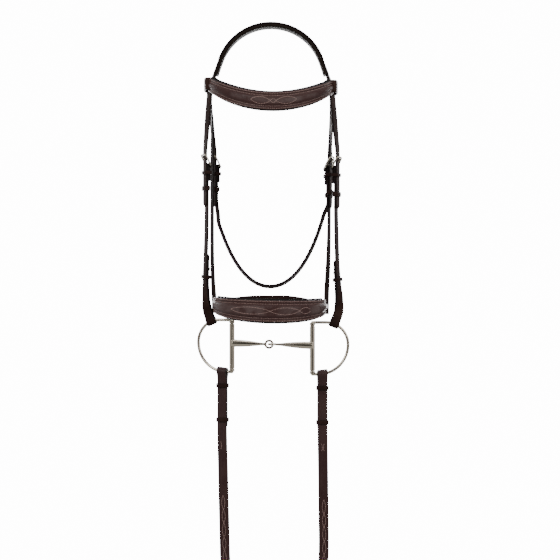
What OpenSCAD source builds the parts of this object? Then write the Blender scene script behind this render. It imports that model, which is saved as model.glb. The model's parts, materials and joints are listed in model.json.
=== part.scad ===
// Snaffle bridle with a single-jointed dee bit and its reins.
// Millimetres, +Z up. -Y is the front of the horse's face, +X its near (left) side.
// The origin is the top of the inside of the crownpiece, where a hook or a poll carries it.

/* [Crown] */
// Outer radius of the crown's arch
crown_r = 93; // [90:1:96]
// Width of the crownpiece over the poll
crown_w = 38; // [36:1:42]
// Thickness of the crown's leather
crown_t = 3; // [2.6:0.1:3.2]
// Thickness of the pad under the crown
pad_t = 5; // [4.6:0.1:5.4]

/* [Straps] */
// Thickness of the strap leather
leather_t = 2.6; // [2.4:0.1:2.8]
// Width of the cheek straps
cheek_w = 16; // [15:0.5:17]
// Width of the throatlatch straps
throat_w = 12; // [11:0.5:13]
// Width of the noseband's hangers
hanger_w = 13; // [12:0.5:14]

/* [Browband] */
// How far the browband bulges to the front
brow_bulge = 85; // [75:1:90]
// Height of the browband at its middle
brow_h = 29; // [26:1:32]
// Height of the browband at its ends
brow_end_h = 21; // [19:1:23]
// How far the browband's middle drops below its ends
brow_drop = 33; // [25:1:36]

/* [Noseband] */
// Half width of the noseband between its sides
nose_half = 90; // [88:1:91]
// How far the noseband reaches to the front
nose_front = 86; // [80:1:90]
// Height of the noseband at its middle
nose_h = 36; // [32:1:38]
// Height of the noseband at its sides
nose_end_h = 22; // [20:1:24]

/* [Bit] */
// Height of the dee between its wire centres
dee_h = 86; // [84:1:88]
// Reach of the dee from its bar to its wire centre
dee_reach = 60; // [58:1:62]
// Diameter of the dee's wire
dee_wire_d = 5.3; // [5:0.1:5.6]
// Diameter of the mouthpiece's sleeve on the dee's bar
sleeve_d = 9; // [8.4:0.1:9]

/* [Reins] */
// Width of the reins
rein_w = 16; // [15:0.5:17]
// Thickness of the reins
rein_t = 3.2; // [3:0.1:3.4]

/* [Hidden] */

leather = [0.25, 0.15, 0.14];
lining = [0.13, 0.13, 0.13];
steel = [0.75, 0.72, 0.64];

OFF = -1;
NEAR = 1;
gap = 0.3;

// Buckles: the hinge bar lies behind the upper strap, the top bar in front of it
wire_r = 1.4;
frame_h = 17;
bend_r = 1.6 + leather_t / 2;
lower_n = -leather_t / 2 + 0.15;
bar_n = lower_n - bend_r;
upper_n = 0.4 + leather_t / 2;
front_n = 0.4 + leather_t;
top_n = front_n + gap + wire_r;
tongue_r = 1.1;
tongue_l = 20.5;
// The tongue leans until it rests on the top bar
tongue_turn = atan2(top_n - bar_n, frame_h)
    + asin((wire_r + tongue_r + gap) / norm([top_n - bar_n, frame_h]));
tail_n = lower_n - leather_t - gap;
tail_end = -26;
tip_z = -67;

// Strap groups: side, x, y, height of the buckle's bar, turn of the strap, width, runner's place
cheek_off = [OFF, -107.5, -9, -229, 68, cheek_w, -38];
cheek_near = [NEAR, 109, -9, -233, 68, cheek_w, -44];
throat_off = [OFF, -93, 27, -229, 60, throat_w, -38];
throat_near = [NEAR, 97, 36, -233, 60, throat_w, -44];
hanger_near = [NEAR, 98, 14, -231, 68, hanger_w, -42];

// The noseband: its middle, its tilt to the near side, and the buckle in its near side
nose_x = -2;
nose_z = -460;
nose_dip = 9.5;
nose_rise = 8;
side_lean = 13.5;
chin_bar = 56;
chin_tip = -44;
chin_runner_z = -31;

// The bit
dee_r = dee_wire_d / 2;
dee_raise = 6;
dee_top_r = dee_h / 2 - dee_raise;
dee_bottom_r = dee_h / 2 + dee_raise;
bit_y = -8;
bar_off = [-64.7, bit_y, -528.3];
bar_near = [68.7, bit_y, -532.3];
turn_off = 20;
turn_near = 8;
cheek_d = 36.7;
rein_d = 16.7;
loop_fall = asin((cheek_d - dee_reach + dee_top_r) / dee_top_r);
mouth_z = 4.8;
eye_off = [-3.1, bit_y, -525.5];
eye_near = [2.1, bit_y, -525.5];
eye_r = 6;
eye_wire_r = 2;

// Where the reins hang, and the hank of their unseen length
hank_x = 6;
hank_y = -4;
hank_top = -1035;
hank_bottom = -1330;
hank_end_r = 31;
hank_waist = 22;
rein_off_route = [[-81, -4, -597], [-81, -4, -632], [-81, -4, -668], [-80.4, -4, -702],
    [-79.4, -4, -740], [-78.6, -4, -780], [-77.6, -4, -820], [-76.8, -4, -855], [-75.6, -4, -885],
    [-71, -5, -915], [-61, -8, -945], [-46, -12, -972], [-28, -17, -995], [-11, -22, -1014],
    [0, -29, -1032], [5, -33, -1052]];
rein_near_route = [[85.4, -7.4, -601], [85.5, -7.4, -635], [85.6, -7.4, -672], [86, -6.4, -705],
    [86.6, -5, -740], [87, -4, -780], [87.4, -4, -820], [87.8, -4, -855], [86.8, -4, -885],
    [82, -4, -915], [72, -5, -945], [57, -8, -972], [39, -12, -995], [23, -17, -1014],
    [12, -23, -1032], [7, -26.5, -1052]];

flat = [[1, 1], [-1, 1], [-1, -1], [1, -1]];
round_edge = [[1, 0.4], [0.8, 1], [-0.8, 1], [-1, 0.4], [-1, -0.4], [-0.8, -1], [0.8, -1], [1, -0.4]];

function unit(v) = v / norm(v);
function lerp(a, b, t) = a + (b - a) * t;
function tangent(p, i) = unit(p[min(i + 1, len(p) - 1)] - p[max(i - 1, 0)]);
function square_to(u, dir) = unit(u - (u * dir) * dir);
function pick(v, i) = is_list(v[0]) ? v[i] : v;
function width(w, i) = is_list(w) ? w[i] : w;

// A strap swept along a path: across is its width direction, one for all or one for each point
module strap(path, across, w, t, outline = flat) {
    n = len(path);
    m = len(outline);
    points = [for (i = [0:n - 1])
        let (dir = tangent(path, i), u = square_to(pick(across, i), dir), v = cross(dir, u))
        for (c = outline) path[i] + u * c[0] * width(w, i) / 2 + v * c[1] * t / 2];
    // front and back are split along the same diagonal, so that a twist keeps the thickness
    sides = [for (i = [0:n - 2]) for (j = [0:m - 1]) let (a = i * m + j, b = i * m + (j + 1) % m)
        each j < m / 2 ? [[a, a + m, b + m], [a, b + m, b]] : [[a, a + m, b], [a + m, b + m, b]]];
    first = [for (j = [0:m - 1]) j];
    last = [for (j = [m - 1:-1:0]) (n - 1) * m + j];
    polyhedron(points, concat([first], sides, [last]), convexity = 6);
}

module rod(a, b, r) {
    d = b - a;
    translate(a) rotate([0, acos(d[2] / norm(d)), atan2(d[1], d[0])])
        cylinder(h = norm(d), r = r, $fn = 24);
}

function across_at(side, turn) = [cos(turn), side * sin(turn), 0];
function out_at(side, turn) = [side * sin(turn), -cos(turn), 0];
// A point of a strap group: n outwards from its face, z up from its buckle's bar
function in_group(g, n, z) = [g[1], g[2], g[3] + z] + out_at(g[0], g[4]) * n;
module at_group(g) {
    translate([g[1], g[2], g[3]]) rotate([0, 0, g[0] * g[4]]) children();
}

// The chin strap's group lies on its side: its width stands up, and z runs to the rear
function in_chin(n, z) = [nose_x + nose_half, 0, side_z(NEAR)]
    + [-sin(side_lean), cos(side_lean), 0] * (chin_bar + z)
    + [cos(side_lean), sin(side_lean), 0] * (n - lower_n);
module at_chin() {
    translate(in_chin(0, 0)) rotate([0, 0, 90 + side_lean]) rotate([0, 90, 0]) children();
}

// The rest of a folded end: round the buckle's bar and down the back of its own strap
function bar_fold(g) = concat(
    [for (z = [tail_end, -18, -9]) in_group(g, tail_n, z)],
    [for (b = [190:-38:0]) in_group(g, bar_n + bend_r * cos(b), bend_r * sin(b))]);

module buckle(w) {
    half = w / 2 + 3;
    corners = [[-half, -bar_n, 0], [half, -bar_n, 0], [half, -top_n, frame_h], [-half, -top_n, frame_h]];
    for (i = [0:3]) {
        rod(corners[i], corners[(i + 1) % 4], wire_r);
        translate(corners[i]) sphere(r = wire_r + 0.15, $fn = 24);
    }
}

module tongue() {
    start = [0, -bar_n, 0];
    tip = start + tongue_l * [0, -sin(tongue_turn), cos(tongue_turn)];
    difference() {
        union() {
            translate(start) rotate([0, 90, 0]) cylinder(h = 3, r = wire_r + 1.3, center = true, $fn = 32);
            rod(start, tip, tongue_r);
            translate(tip) sphere(r = tongue_r + 0.15, $fn = 24);
        }
        translate(start) rotate([0, 90, 0]) cylinder(h = 8, r = wire_r + 0.1, center = true, $fn = 32);
    }
}

// A keeper round straps that lie between back and front
module keeper(w, back, front, h) {
    wall = 1.5;
    half = w / 2 + gap + 0.1;
    linear_extrude(height = h, center = true) difference() {
        translate([-half - wall, -front - gap - wall])
            square([2 * (half + wall), front - back + 2 * (gap + wall)]);
        translate([-half, -front - gap]) square([2 * half, front - back + 2 * gap]);
    }
}

// The slot that a tongue goes through, in the upper strap or in the fold on the bar
module tongue_slot() {
    translate([-1.6, -8, 0.8]) cube([3.2, 12.5, 11.8]);
}
module fold_slot() {
    translate([-2, -1, -3]) cube([4, 11, 10]);
}

module group_keeper(g) {
    at_group(g) translate([0, 0, -12]) keeper(g[5], tail_n - leather_t / 2, front_n, 6);
}
module group_runner(g) {
    at_group(g) translate([0, 0, g[6]]) keeper(g[5], lower_n - leather_t / 2, front_n, 8);
}

// ---- crown ----

arch_z = crown_t + pad_t - crown_r;
arch_end = 71;
function arch(r, y, a) = [r * sin(a), y, arch_z + r * cos(a)];
crown_mid_r = crown_r - crown_t / 2;

// A split strap of the crown: down the arch's end, through the browband loop, into its group
function split_path(g, y) =
    let (s = g[0], foot = in_group(g, upper_n, 22))
    [[s * arch(crown_mid_r, 0, 68)[0], y, arch(crown_mid_r, 0, 68)[2]],
     [s * 86.5, y, -55.2], [s * 95, y, -80], [s * 99.6, y, -94], [s * 102, y, -106],
     [s * 102.6, y, -118], lerp([s * 102.6, y, -118], foot, 0.33),
     lerp([s * 102.6, y, -118], foot, 0.67), foot, in_group(g, upper_n, 0),
     in_group(g, upper_n, tip_z + 6), in_group(g, upper_n, tip_z)];
function split_turns(g) =
    [for (a = [90, 90, 90, 90, 90, 88, 82, 74, g[4], g[4], g[4], g[4]])
        across_at(g[0], min(90, max(a, g[4])))];
function split_widths(w) = [w, w, w, w, w, w, w, w, w, w, w, w * 0.45];

module crownpiece() {
    color(leather) difference() {
        union() {
            strap([for (i = [0:18]) arch(crown_mid_r, 0, -70 + 140 * i / 18)], [0, 1, 0], crown_w, crown_t);
            for (g = [cheek_off, cheek_near])
                strap(split_path(g, -11), split_turns(g), split_widths(cheek_w), leather_t);
            for (g = [throat_off, throat_near])
                strap(split_path(g, 13), split_turns(g), split_widths(throat_w), leather_t);
        }
        for (g = [cheek_off, cheek_near, throat_off, throat_near]) at_group(g) tongue_slot();
    }
}

module crown_padding() {
    r = crown_r - crown_t - 0.1 - pad_t / 2;
    ends = [for (s = [-1, 1]) [s * (r * sin(arch_end) + 7.6), 0, arch_z + r * cos(arch_end) - 22]];
    path = concat([ends[0]], [for (i = [0:18]) arch(r, 0, -arch_end + 2 * arch_end * i / 18)], [ends[1]]);
    // the groove that the noseband's headstrap lies in
    half = (hanger_w + 1) / (crown_w + 2);
    outline = [[1, 1], [half, 1], [half, -0.04], [-half, -0.04], [-half, 1], [-1, 1], [-1, -1], [1, -1]];
    color(lining) strap(path, [0, 1, 0], crown_w + 2, pad_t - 0.2, outline);
}

headstrap_t = 1.8;
// From the crown down the off side to the noseband, and down the near side through its buckle
module noseband_headstrap() {
    r = crown_r - crown_t - 0.2 - headstrap_t / 2;
    g = hanger_near;
    over = [for (i = [0:18]) arch(r, 0, -arch_end + 2 * arch_end * i / 18)];
    foot = in_group(g, upper_n, 22);
    off_side = [[-95.4, 2, -474], [-95.8, 2, -452], [-96.8, 3, -425], [-97.6, 5, -390], [-98, 7, -350],
        [-98, 8, -300], [-98, 8, -240], [-98, 7, -190], [-98.4, 3, -140], [-98.6, 0, -118],
        [-97.6, 0, -104], [-94.4, 0, -88], [-90.4, 0, -76]];
    near_side = [[90.4, 0, -76], [94.4, 0, -88], [97.6, 0, -104], [98.2, 0, -118],
        lerp([98.2, 0, -118], foot, 0.5), foot, in_group(g, upper_n, 0),
        in_group(g, upper_n, tip_z + 6), in_group(g, upper_n, tip_z)];
    turns = concat([for (a = [88, 84, 76, 70, 68, 68, 68, 70, 82, 90, 90, 90, 90]) across_at(OFF, a)],
        [for (p = over) [0, -1, 0]], [for (a = [90, 90, 90, 90, 78, 68, 68, 68, 68]) -across_at(NEAR, a)]);
    w = concat([for (p = off_side) hanger_w], [for (p = over) hanger_w],
        [for (i = [0:8]) i < 8 ? hanger_w : hanger_w * 0.45]);
    color(leather) difference() {
        strap(concat(off_side, over, near_side), turns, w, headstrap_t);
        at_group(g) tongue_slot();
    }
}

module near_hanger() {
    g = hanger_near;
    path = concat(bar_fold(g), [in_group(g, lower_n, -6), in_group(g, lower_n, -100),
        [96.2, 11, -365], [94.6, 7, -405], [92.6, 3, -440], [92.1, 2, -476]]);
    turns = concat([for (i = [0:10]) across_at(NEAR, 68)], [for (a = [70, 76, 84, 88]) across_at(NEAR, a)]);
    color(leather) difference() {
        strap(path, [for (i = [0:len(path) - 1]) turns[min(i, len(turns) - 1)]], hanger_w, leather_t);
        at_group(g) fold_slot();
    }
}

// ---- cheekpieces ----

// The hole of a dee where a strap hangs: side, bar's place, turn of the dee
function dee_dir(s, turn) = [s * cos(turn), sin(turn), 0];
function cheek_eye(s, bar, turn) = bar + dee_dir(s, turn) * cheek_d
    + [0, 0, dee_raise + dee_top_r * cos(loop_fall)];
function rein_eye(s, bar, turn) = bar + dee_dir(s, turn) * rein_d
    + [0, 0, dee_raise - sqrt(pow(dee_bottom_r, 2) - pow(rein_d - dee_reach + dee_bottom_r, 2))];

loop_r = 4.6 + leather_t / 2;
loop_betas = [35, 5, -25, -55, -90, -125, -155, -185, -215];

// Down the front of a cheekpiece, round the dee's wire and up the back to its tip
module cheekpiece(g, bar, turn, bends, bend_turns, tip_share) {
    s = g[0];
    eye = cheek_eye(s, bar, turn);
    u = [cos(turn) * cos(loop_fall), s * sin(turn) * cos(loop_fall), -s * sin(loop_fall)];
    n = out_at(s, turn);
    v = cross(n, u) * (cross(n, u)[2] > 0 ? 1 : -1);
    top = bar_fold(g);
    main = concat([in_group(g, lower_n, -6), in_group(g, lower_n, -72)], bends);
    main_turns = concat([g[4], g[4]], bend_turns);
    near_loop = [[1.45, 17], [2.2, 10.5]];
    down = [for (q = near_loop) eye + n * q[0] + v * q[1]];
    loop = [for (b = loop_betas) eye + n * loop_r * cos(b) + v * loop_r * sin(b)];
    up = [for (i = [1:-1:0]) eye - n * near_loop[i][0] + v * near_loop[i][1]];
    back = [for (i = [len(main) - 1:-1:3]) main[i] - out_at(s, main_turns[i]) * (leather_t + gap)];
    tip = [for (share = [0.1, tip_share])
        lerp(main[3], main[2], share) - out_at(s, main_turns[3]) * (leather_t + gap)];
    loop_turns = [for (q = concat(down, loop, up)) u];
    back_turns = [for (i = [len(main) - 1:-1:3]) across_at(s, main_turns[i])];
    all_turns = concat([for (q = top) across_at(s, g[4])], [for (a = main_turns) across_at(s, a)],
        loop_turns, back_turns, [for (q = tip) across_at(s, main_turns[3])]);
    path = concat(top, main, down, loop, up, back, tip);
    w = [for (i = [0:len(path) - 1]) i == len(path) - 1 ? g[5] * 0.5 : g[5]];
    color(leather) difference() {
        strap(path, all_turns, w, leather_t);
        at_group(g) fold_slot();
    }
}

bends_off = [[-107.2, -8.3, -350], [-108.6, -7, -390], [-109.4, -4.5, -425], [-108.6, -1, -450]];
bends_near = [[108.8, -8.5, -350], [110.4, -8, -398], [112.4, -7, -428], [114.0, -6, -454]];
cheek_turns_off = [67, 64, 58, 45];
cheek_turns_near = [67, 64, 54, 36];

module cheekpiece_off() {
    cheekpiece(cheek_off, bar_off, turn_off, bends_off, cheek_turns_off, 0.35);
}
module cheekpiece_near() {
    cheekpiece(cheek_near, bar_near, turn_near, bends_near, cheek_turns_near, 0.25);
}

// Where a billet's hook and its keeper sit on a cheekpiece
stud_drop = 0.3;
hook_drop = 0.68;

module cheek_stud(s, bends, turns) {
    p = lerp(bends[1], bends[2], stud_drop);
    n = out_at(s, lerp(turns[1], turns[2], stud_drop));
    start = p - n * (leather_t / 2 + 0.1);
    rod(start, start - n * (leather_t + gap + 1.2), 1.6);
    rod(start - n * (leather_t + gap + 1), start - n * (leather_t + gap + 3), 3);
}
module cheek_studs() {
    color(steel) {
        cheek_stud(OFF, bends_off, cheek_turns_off);
        cheek_stud(NEAR, bends_near, cheek_turns_near);
    }
}
module hook_keeper(s, bends, turns) {
    p = lerp(bends[1], bends[2], hook_drop);
    color(leather) translate(p) rotate([0, 0, s * lerp(turns[1], turns[2], hook_drop)])
        keeper(cheek_w + 0.6, -leather_t * 1.5 - gap - 0.6, leather_t / 2 + 0.4, 6);
}
module hook_keeper_off() { hook_keeper(OFF, bends_off, cheek_turns_off); }
module hook_keeper_near() { hook_keeper(NEAR, bends_near, cheek_turns_near); }

// ---- buckles and keepers of the headstall ----

module cheek_buckle_off() { color(steel) at_group(cheek_off) buckle(cheek_w); }
module cheek_buckle_near() { color(steel) at_group(cheek_near) buckle(cheek_w); }
module throat_buckle_off() { color(steel) at_group(throat_off) buckle(throat_w); }
module throat_buckle_near() { color(steel) at_group(throat_near) buckle(throat_w); }
module hanger_buckle() { color(steel) at_group(hanger_near) buckle(hanger_w); }
module chin_buckle() { color(steel) at_chin() buckle(hanger_w); }

module cheek_tongue_off() { color(steel) at_group(cheek_off) tongue(); }
module cheek_tongue_near() { color(steel) at_group(cheek_near) tongue(); }
module throat_tongue_off() { color(steel) at_group(throat_off) tongue(); }
module throat_tongue_near() { color(steel) at_group(throat_near) tongue(); }
module hanger_tongue() { color(steel) at_group(hanger_near) tongue(); }
module chin_tongue() { color(steel) at_chin() tongue(); }

module cheek_keeper_off() { color(leather) group_keeper(cheek_off); }
module cheek_keeper_near() { color(leather) group_keeper(cheek_near); }
module throat_keeper_off() { color(leather) group_keeper(throat_off); }
module throat_keeper_near() { color(leather) group_keeper(throat_near); }
module hanger_keeper() { color(leather) group_keeper(hanger_near); }
module cheek_runner_off() { color(leather) group_runner(cheek_off); }
module cheek_runner_near() { color(leather) group_runner(cheek_near); }
module throat_runner_off() { color(leather) group_runner(throat_off); }
module throat_runner_near() { color(leather) group_runner(throat_near); }
module hanger_runner() { color(leather) group_runner(hanger_near); }
module chin_keeper() {
    color(leather) at_chin() translate([0, 0, -12]) keeper(hanger_w, tail_n - leather_t / 2, front_n, 6);
}
module chin_runner() {
    color(leather) at_chin() translate([0, 0, chin_runner_z])
        keeper(hanger_w, lower_n - leather_t / 2, front_n, 6);
}

// ---- throatlatch ----

// The fixed end above the joint, with its fold on the buckle's bar. It leans in by lean at its foot.
throat_end = -76;
throat_lean = [3, 7.2];
function throat_foot(g, lean, z) = in_group(g, lower_n, z) - g[0] * [lean, 0, 0];
module throatlatch_end(g, lean) {
    color(leather) difference() {
        strap(concat(bar_fold(g), [in_group(g, lower_n, -6), in_group(g, lower_n, -56),
            throat_foot(g, lean, throat_end)]), across_at(g[0], g[4]), throat_w, leather_t);
        at_group(g) fold_slot();
    }
}
module throatlatch_off_end() { throatlatch_end(throat_off, throat_lean[0]); }
module throatlatch_near_end() { throatlatch_end(throat_near, throat_lean[1]); }

// The hanging part, a catenary between its two ends
throat_low = -430;
throat_c = 46;
throat_steps = 30;
throatlatch_t = 3.2;
throat_mid = -1.5;
throat_reach = [81, 87.8];
throat_tilt = 15;
function hang(u) = throat_low + throat_c * ((exp(u) + exp(-u)) / 2 - 1);
function hang_turn(u) = let (e = exp(u), f = exp(-u), c = e + f)
    [-sin(throat_tilt) * (e - f) / c, -cos(throat_tilt), sin(throat_tilt) * 2 / c];
module throatlatch() {
    a = throat_foot(throat_off, throat_lean[0], throat_end - 5);
    b = throat_foot(throat_near, throat_lean[1] + 1.6, throat_end - 5);
    spans = [for (i = [0:throat_steps]) let (s = sin(-90 + 180 * i / throat_steps))
        s * throat_reach[s < 0 ? 0 : 1] / throat_c];
    middle = [for (i = [0:throat_steps])
        [throat_mid + spans[i] * throat_c, lerp(a[1], b[1], i / throat_steps), hang(spans[i])]];
    path = concat([a, a + [1, 0, -12]], middle, [b]);
    turns = concat([across_at(OFF, 60), across_at(OFF, 68)], [for (u = spans) hang_turn(u)],
        [-across_at(NEAR, 60)]);
    color(leather) strap(path, turns, throat_w, throatlatch_t);
}

// ---- browband ----

brow_z = -99;
brow_half = 102;
brow_lean = 0.02;
brow_front = -25;
brow_t = 3.4;
brow_lining_t = 3;
function brow_point(a, out) = [(brow_half + out) * sin(a), brow_front - (brow_bulge + out) * cos(a),
    brow_z - brow_lean * brow_half * sin(a) - brow_drop * pow(max(cos(a), 0), 1.7)];
brow_angles = [for (i = [0:24]) -90 + 7.5 * i];
function brow_width(a) = lerp(brow_end_h, brow_h, pow(max(cos(a), 0), 1.3));

module browband() {
    color(leather) strap([for (a = brow_angles) brow_point(a, 0)], [0, 0, 1],
        [for (a = brow_angles) brow_width(a)], brow_t);
}
module browband_lining() {
    lining_angles = [for (i = [2:22]) brow_angles[i]];
    color(lining) strap([for (a = lining_angles) brow_point(a, -(brow_t + brow_lining_t) / 2 - 0.5)],
        [0, 0, 1], [for (a = lining_angles) brow_width(a) + 2], brow_lining_t);
}
module browband_loop(s) {
    wall = 2.4;
    inner_x = 91.8;
    outer_x = 105.6;
    reach = 22;
    color(leather) translate([0, 0, brow_z - s * brow_lean * brow_half]) linear_extrude(20, center = true)
        difference() {
            translate([s > 0 ? inner_x - wall : -outer_x - wall, -reach - wall])
                square([outer_x - inner_x + 2 * wall, 2 * (reach + wall)]);
            translate([s > 0 ? inner_x : -outer_x, -reach]) square([outer_x - inner_x, 2 * reach]);
        }
}
module browband_loop_off() { browband_loop(OFF); }
module browband_loop_near() { browband_loop(NEAR); }

// ---- noseband ----

function side_z(s) = nose_z - s * 1.8;
function nose_point(a, out) = [nose_x + (nose_half + out) * sin(a), -(nose_front + out) * cos(a),
    nose_z - 1.8 * sin(a) - nose_dip * cos(a)];
function nose_width(a) = lerp(nose_end_h, nose_h, pow(max(cos(a), 0), 0.8));
nose_angles = [for (i = [0:24]) -90 + 7.5 * i];
nose_t = 3.6;
nose_lining_t = 3.8;
module noseband() {
    tab = [in_chin(lower_n, -50), in_chin(lower_n, -40), in_chin(lower_n, -20), in_chin(lower_n, -6)];
    fold = [for (b = [0:38:190]) in_chin(bar_n + bend_r * cos(b), bend_r * sin(b))];
    tail = [in_chin(tail_n, -9), in_chin(tail_n, -18)];
    off_tab = [[nose_x - nose_half + 5.4, 22, side_z(OFF)], [nose_x - nose_half + 2, 10, side_z(OFF)]];
    color(leather) difference() {
        union() {
            strap([for (a = nose_angles) nose_point(a, 0)], [0, 0, 1],
                [for (a = nose_angles) nose_width(a)], nose_t);
            strap(concat([nose_point(86, -0.2), nose_point(90, 0)], tab, fold, tail), [0, 0, 1],
                hanger_w, leather_t);
            strap(concat(off_tab, [nose_point(-90, 0), nose_point(-86, -0.2)]), [0, 0, 1],
                hanger_w + 2, leather_t);
        }
        at_chin() fold_slot();
    }
}
module noseband_lining() {
    lining_angles = [for (i = [2:22]) nose_angles[i]];
    color(lining) strap([for (a = lining_angles) nose_point(a, -(nose_t + nose_lining_t) / 2 - 0.3)],
        [0, 0, 1], [for (a = lining_angles) nose_width(a) + 2], nose_lining_t);
}
// From the noseband's off side round the jaw and through its buckle
module chin_strap() {
    rear_z = nose_z + nose_rise;
    near_part = [in_chin(upper_n, chin_tip), in_chin(upper_n, chin_tip + 6), in_chin(upper_n, 0),
        in_chin(upper_n, 22)];
    rear = [[64, 86, nose_z + 2], [50, 92, nose_z + 5], [26, 96, rear_z], [nose_x, 97, rear_z],
        [-30, 96, rear_z], [-54, 91, nose_z + 6], [-70, 79, nose_z + 4], [-77.5, 60, side_z(OFF) + 1],
        [-82, 42, side_z(OFF)], [nose_x - nose_half + 5.6, 22.6, side_z(OFF)]];
    path = concat(near_part, rear);
    color(leather) difference() {
        strap(path, [0, 0, 1], [for (i = [0:len(path) - 1]) i == 0 ? hanger_w * 0.5 : hanger_w], leather_t);
        at_chin() tongue_slot();
    }
}

// ---- bit ----

// A dee: its straight bar, a cap at each end of it, and the bent wire
module dee(bar, s, turn) {
    half = dee_h / 2;
    top_x = dee_reach - dee_top_r;
    bottom_x = dee_reach - dee_bottom_r;
    color(steel) translate(bar) rotate([0, 0, s > 0 ? turn : 180 - turn]) {
        translate([0, 0, -half]) cylinder(h = dee_h, r = sleeve_d / 2 - 1.8, $fn = 32);
        for (z = [-half + 0.5, half - 5.5]) translate([0, 0, z]) cylinder(h = 5, r = sleeve_d / 2, $fn = 32);
        for (z = [-half, half]) translate([0, 0, z]) sphere(r = dee_r, $fn = 32);
        rod([0, 0, half], [top_x, 0, half], dee_r);
        rod([0, 0, -half], [bottom_x, 0, -half], dee_r);
        translate([top_x, 0, dee_raise]) rotate([90, 0, 0])
            rotate_extrude(angle = 90, $fn = 96) translate([dee_top_r, 0]) circle(r = dee_r, $fn = 32);
        translate([bottom_x, 0, dee_raise]) rotate([90, 0, 0]) rotate([0, 0, -90])
            rotate_extrude(angle = 90, $fn = 96) translate([dee_bottom_r, 0]) circle(r = dee_r, $fn = 32);
    }
}
module dee_off() { dee(bar_off, OFF, turn_off); }
module dee_near() { dee(bar_near, NEAR, turn_near); }

// One half of the mouthpiece: a sleeve on the dee's bar, a tapered cannon, and an eye
module mouthpiece(bar, eye, spin) {
    start = bar + [0, 0, mouth_z];
    d = eye - start;
    reach = norm(d);
    sleeve_h = dee_h - 12;
    // radius of the cannon along its length, as shares of the length to the eye's edge
    profile = [[0, 0], [0, 6.4], [0.1, 6.2], [0.28, 5.9], [0.5, 5.0], [0.72, 3.6], [0.86, 2.5], [1, 2], [1, 0]];
    length = reach - eye_r;
    color(steel) difference() {
        union() {
            translate(bar - [0, 0, sleeve_h / 2]) cylinder(h = sleeve_h, r = sleeve_d / 2, $fn = 48);
            translate(start) rotate([0, acos(d[2] / reach), atan2(d[1], d[0])])
                rotate_extrude($fn = 48) polygon([for (q = profile) [q[1], q[0] * length]]);
            translate(eye) rotate([spin, 0, 0])
                rotate_extrude($fn = 64) translate([eye_r, 0]) circle(r = eye_wire_r, $fn = 32);
        }
        translate(bar - [0, 0, sleeve_h]) cylinder(h = 2 * sleeve_h, r = sleeve_d / 2 - 1.7, $fn = 32);
    }
}
module mouthpiece_off() { mouthpiece(bar_off, eye_off, 90); }
module mouthpiece_near() { mouthpiece(bar_near, eye_near, 0); }

// ---- reins ----

rein_loop_r = 4.4 + rein_t / 2;
billet_end = -94;
rein_start = -26;
layer_n = rein_t / 2 + gap / 2;

// The turned-back end of a rein: up the front, over the dee's wire and down the back
module rein_billet(s, bar, turn) {
    eye = rein_eye(s, bar, turn);
    n = out_at(s, turn);
    up = [0, 0, 1];
    rise = asin((rein_d - dee_reach + dee_bottom_r) / dee_bottom_r);
    across = across_at(s, turn) * cos(rise) + [0, 0, s * sin(rise)];
    path = concat([for (q = [[layer_n, rein_start], [layer_n, -15], [2.9, -8.6]]) eye + n * q[0] + up * q[1]],
        [for (b = [-30:30:210]) eye + n * rein_loop_r * cos(b) + up * rein_loop_r * sin(b)],
        [for (q = [[-2.9, -8.6], [-layer_n, -15], [-layer_n, -60], [-layer_n, billet_end + 6],
            [-layer_n, billet_end]]) eye + n * q[0] + up * q[1]]);
    w = [for (i = [0:len(path) - 1]) i == len(path) - 1 ? rein_w * 0.5 : rein_w];
    color(leather) strap(path, across, w, rein_t);
}
module rein_billet_off() { rein_billet(OFF, bar_off, turn_off); }
module rein_billet_near() { rein_billet(NEAR, bar_near, turn_near); }

// A keeper pair on each rein, and the hook stud between them
module rein_keepers(s, bar, turn) {
    eye = rein_eye(s, bar, turn);
    color(leather) for (z = [rein_start + 3, -80])
        translate(eye + [0, 0, z]) rotate([0, 0, s * turn])
            keeper(rein_w + 1, -layer_n - rein_t / 2 - 0.6, layer_n + rein_t / 2 + 0.6, 7);
}
module rein_keepers_off() { rein_keepers(OFF, bar_off, turn_off); }
module rein_keepers_near() { rein_keepers(NEAR, bar_near, turn_near); }
module rein_stud(s, bar, turn) {
    n = out_at(s, turn);
    p = rein_eye(s, bar, turn) + [0, 0, -55];
    rod(p - n * 0.1, p - n * (rein_t + 1.4), 1.8);
    rod(p - n * (rein_t + 1.3), p - n * (rein_t + 3.4), 3.2);
}
module rein_studs() {
    color(steel) {
        rein_stud(OFF, bar_off, turn_off);
        rein_stud(NEAR, bar_near, turn_near);
    }
}

module rein(route, s, turn, start) {
    n = len(route) - 1;
    path = concat([start], [for (i = [1:n]) route[i]]);
    turns = [for (i = [0:n]) across_at(s, turn * min(1, max(0, 1 - (i - 2) / 4)))];
    color(leather) strap(path, turns, rein_w, rein_t, round_edge);
}
function rein_top(s, bar, turn) =
    rein_eye(s, bar, turn) + out_at(s, turn) * layer_n + [0, 0, rein_start];
module rein_off() { rein(rein_off_route, OFF, turn_off, rein_top(OFF, bar_off, turn_off)); }
module rein_near() { rein(rein_near_route, NEAR, turn_near, rein_top(NEAR, bar_near, turn_near)); }

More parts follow.
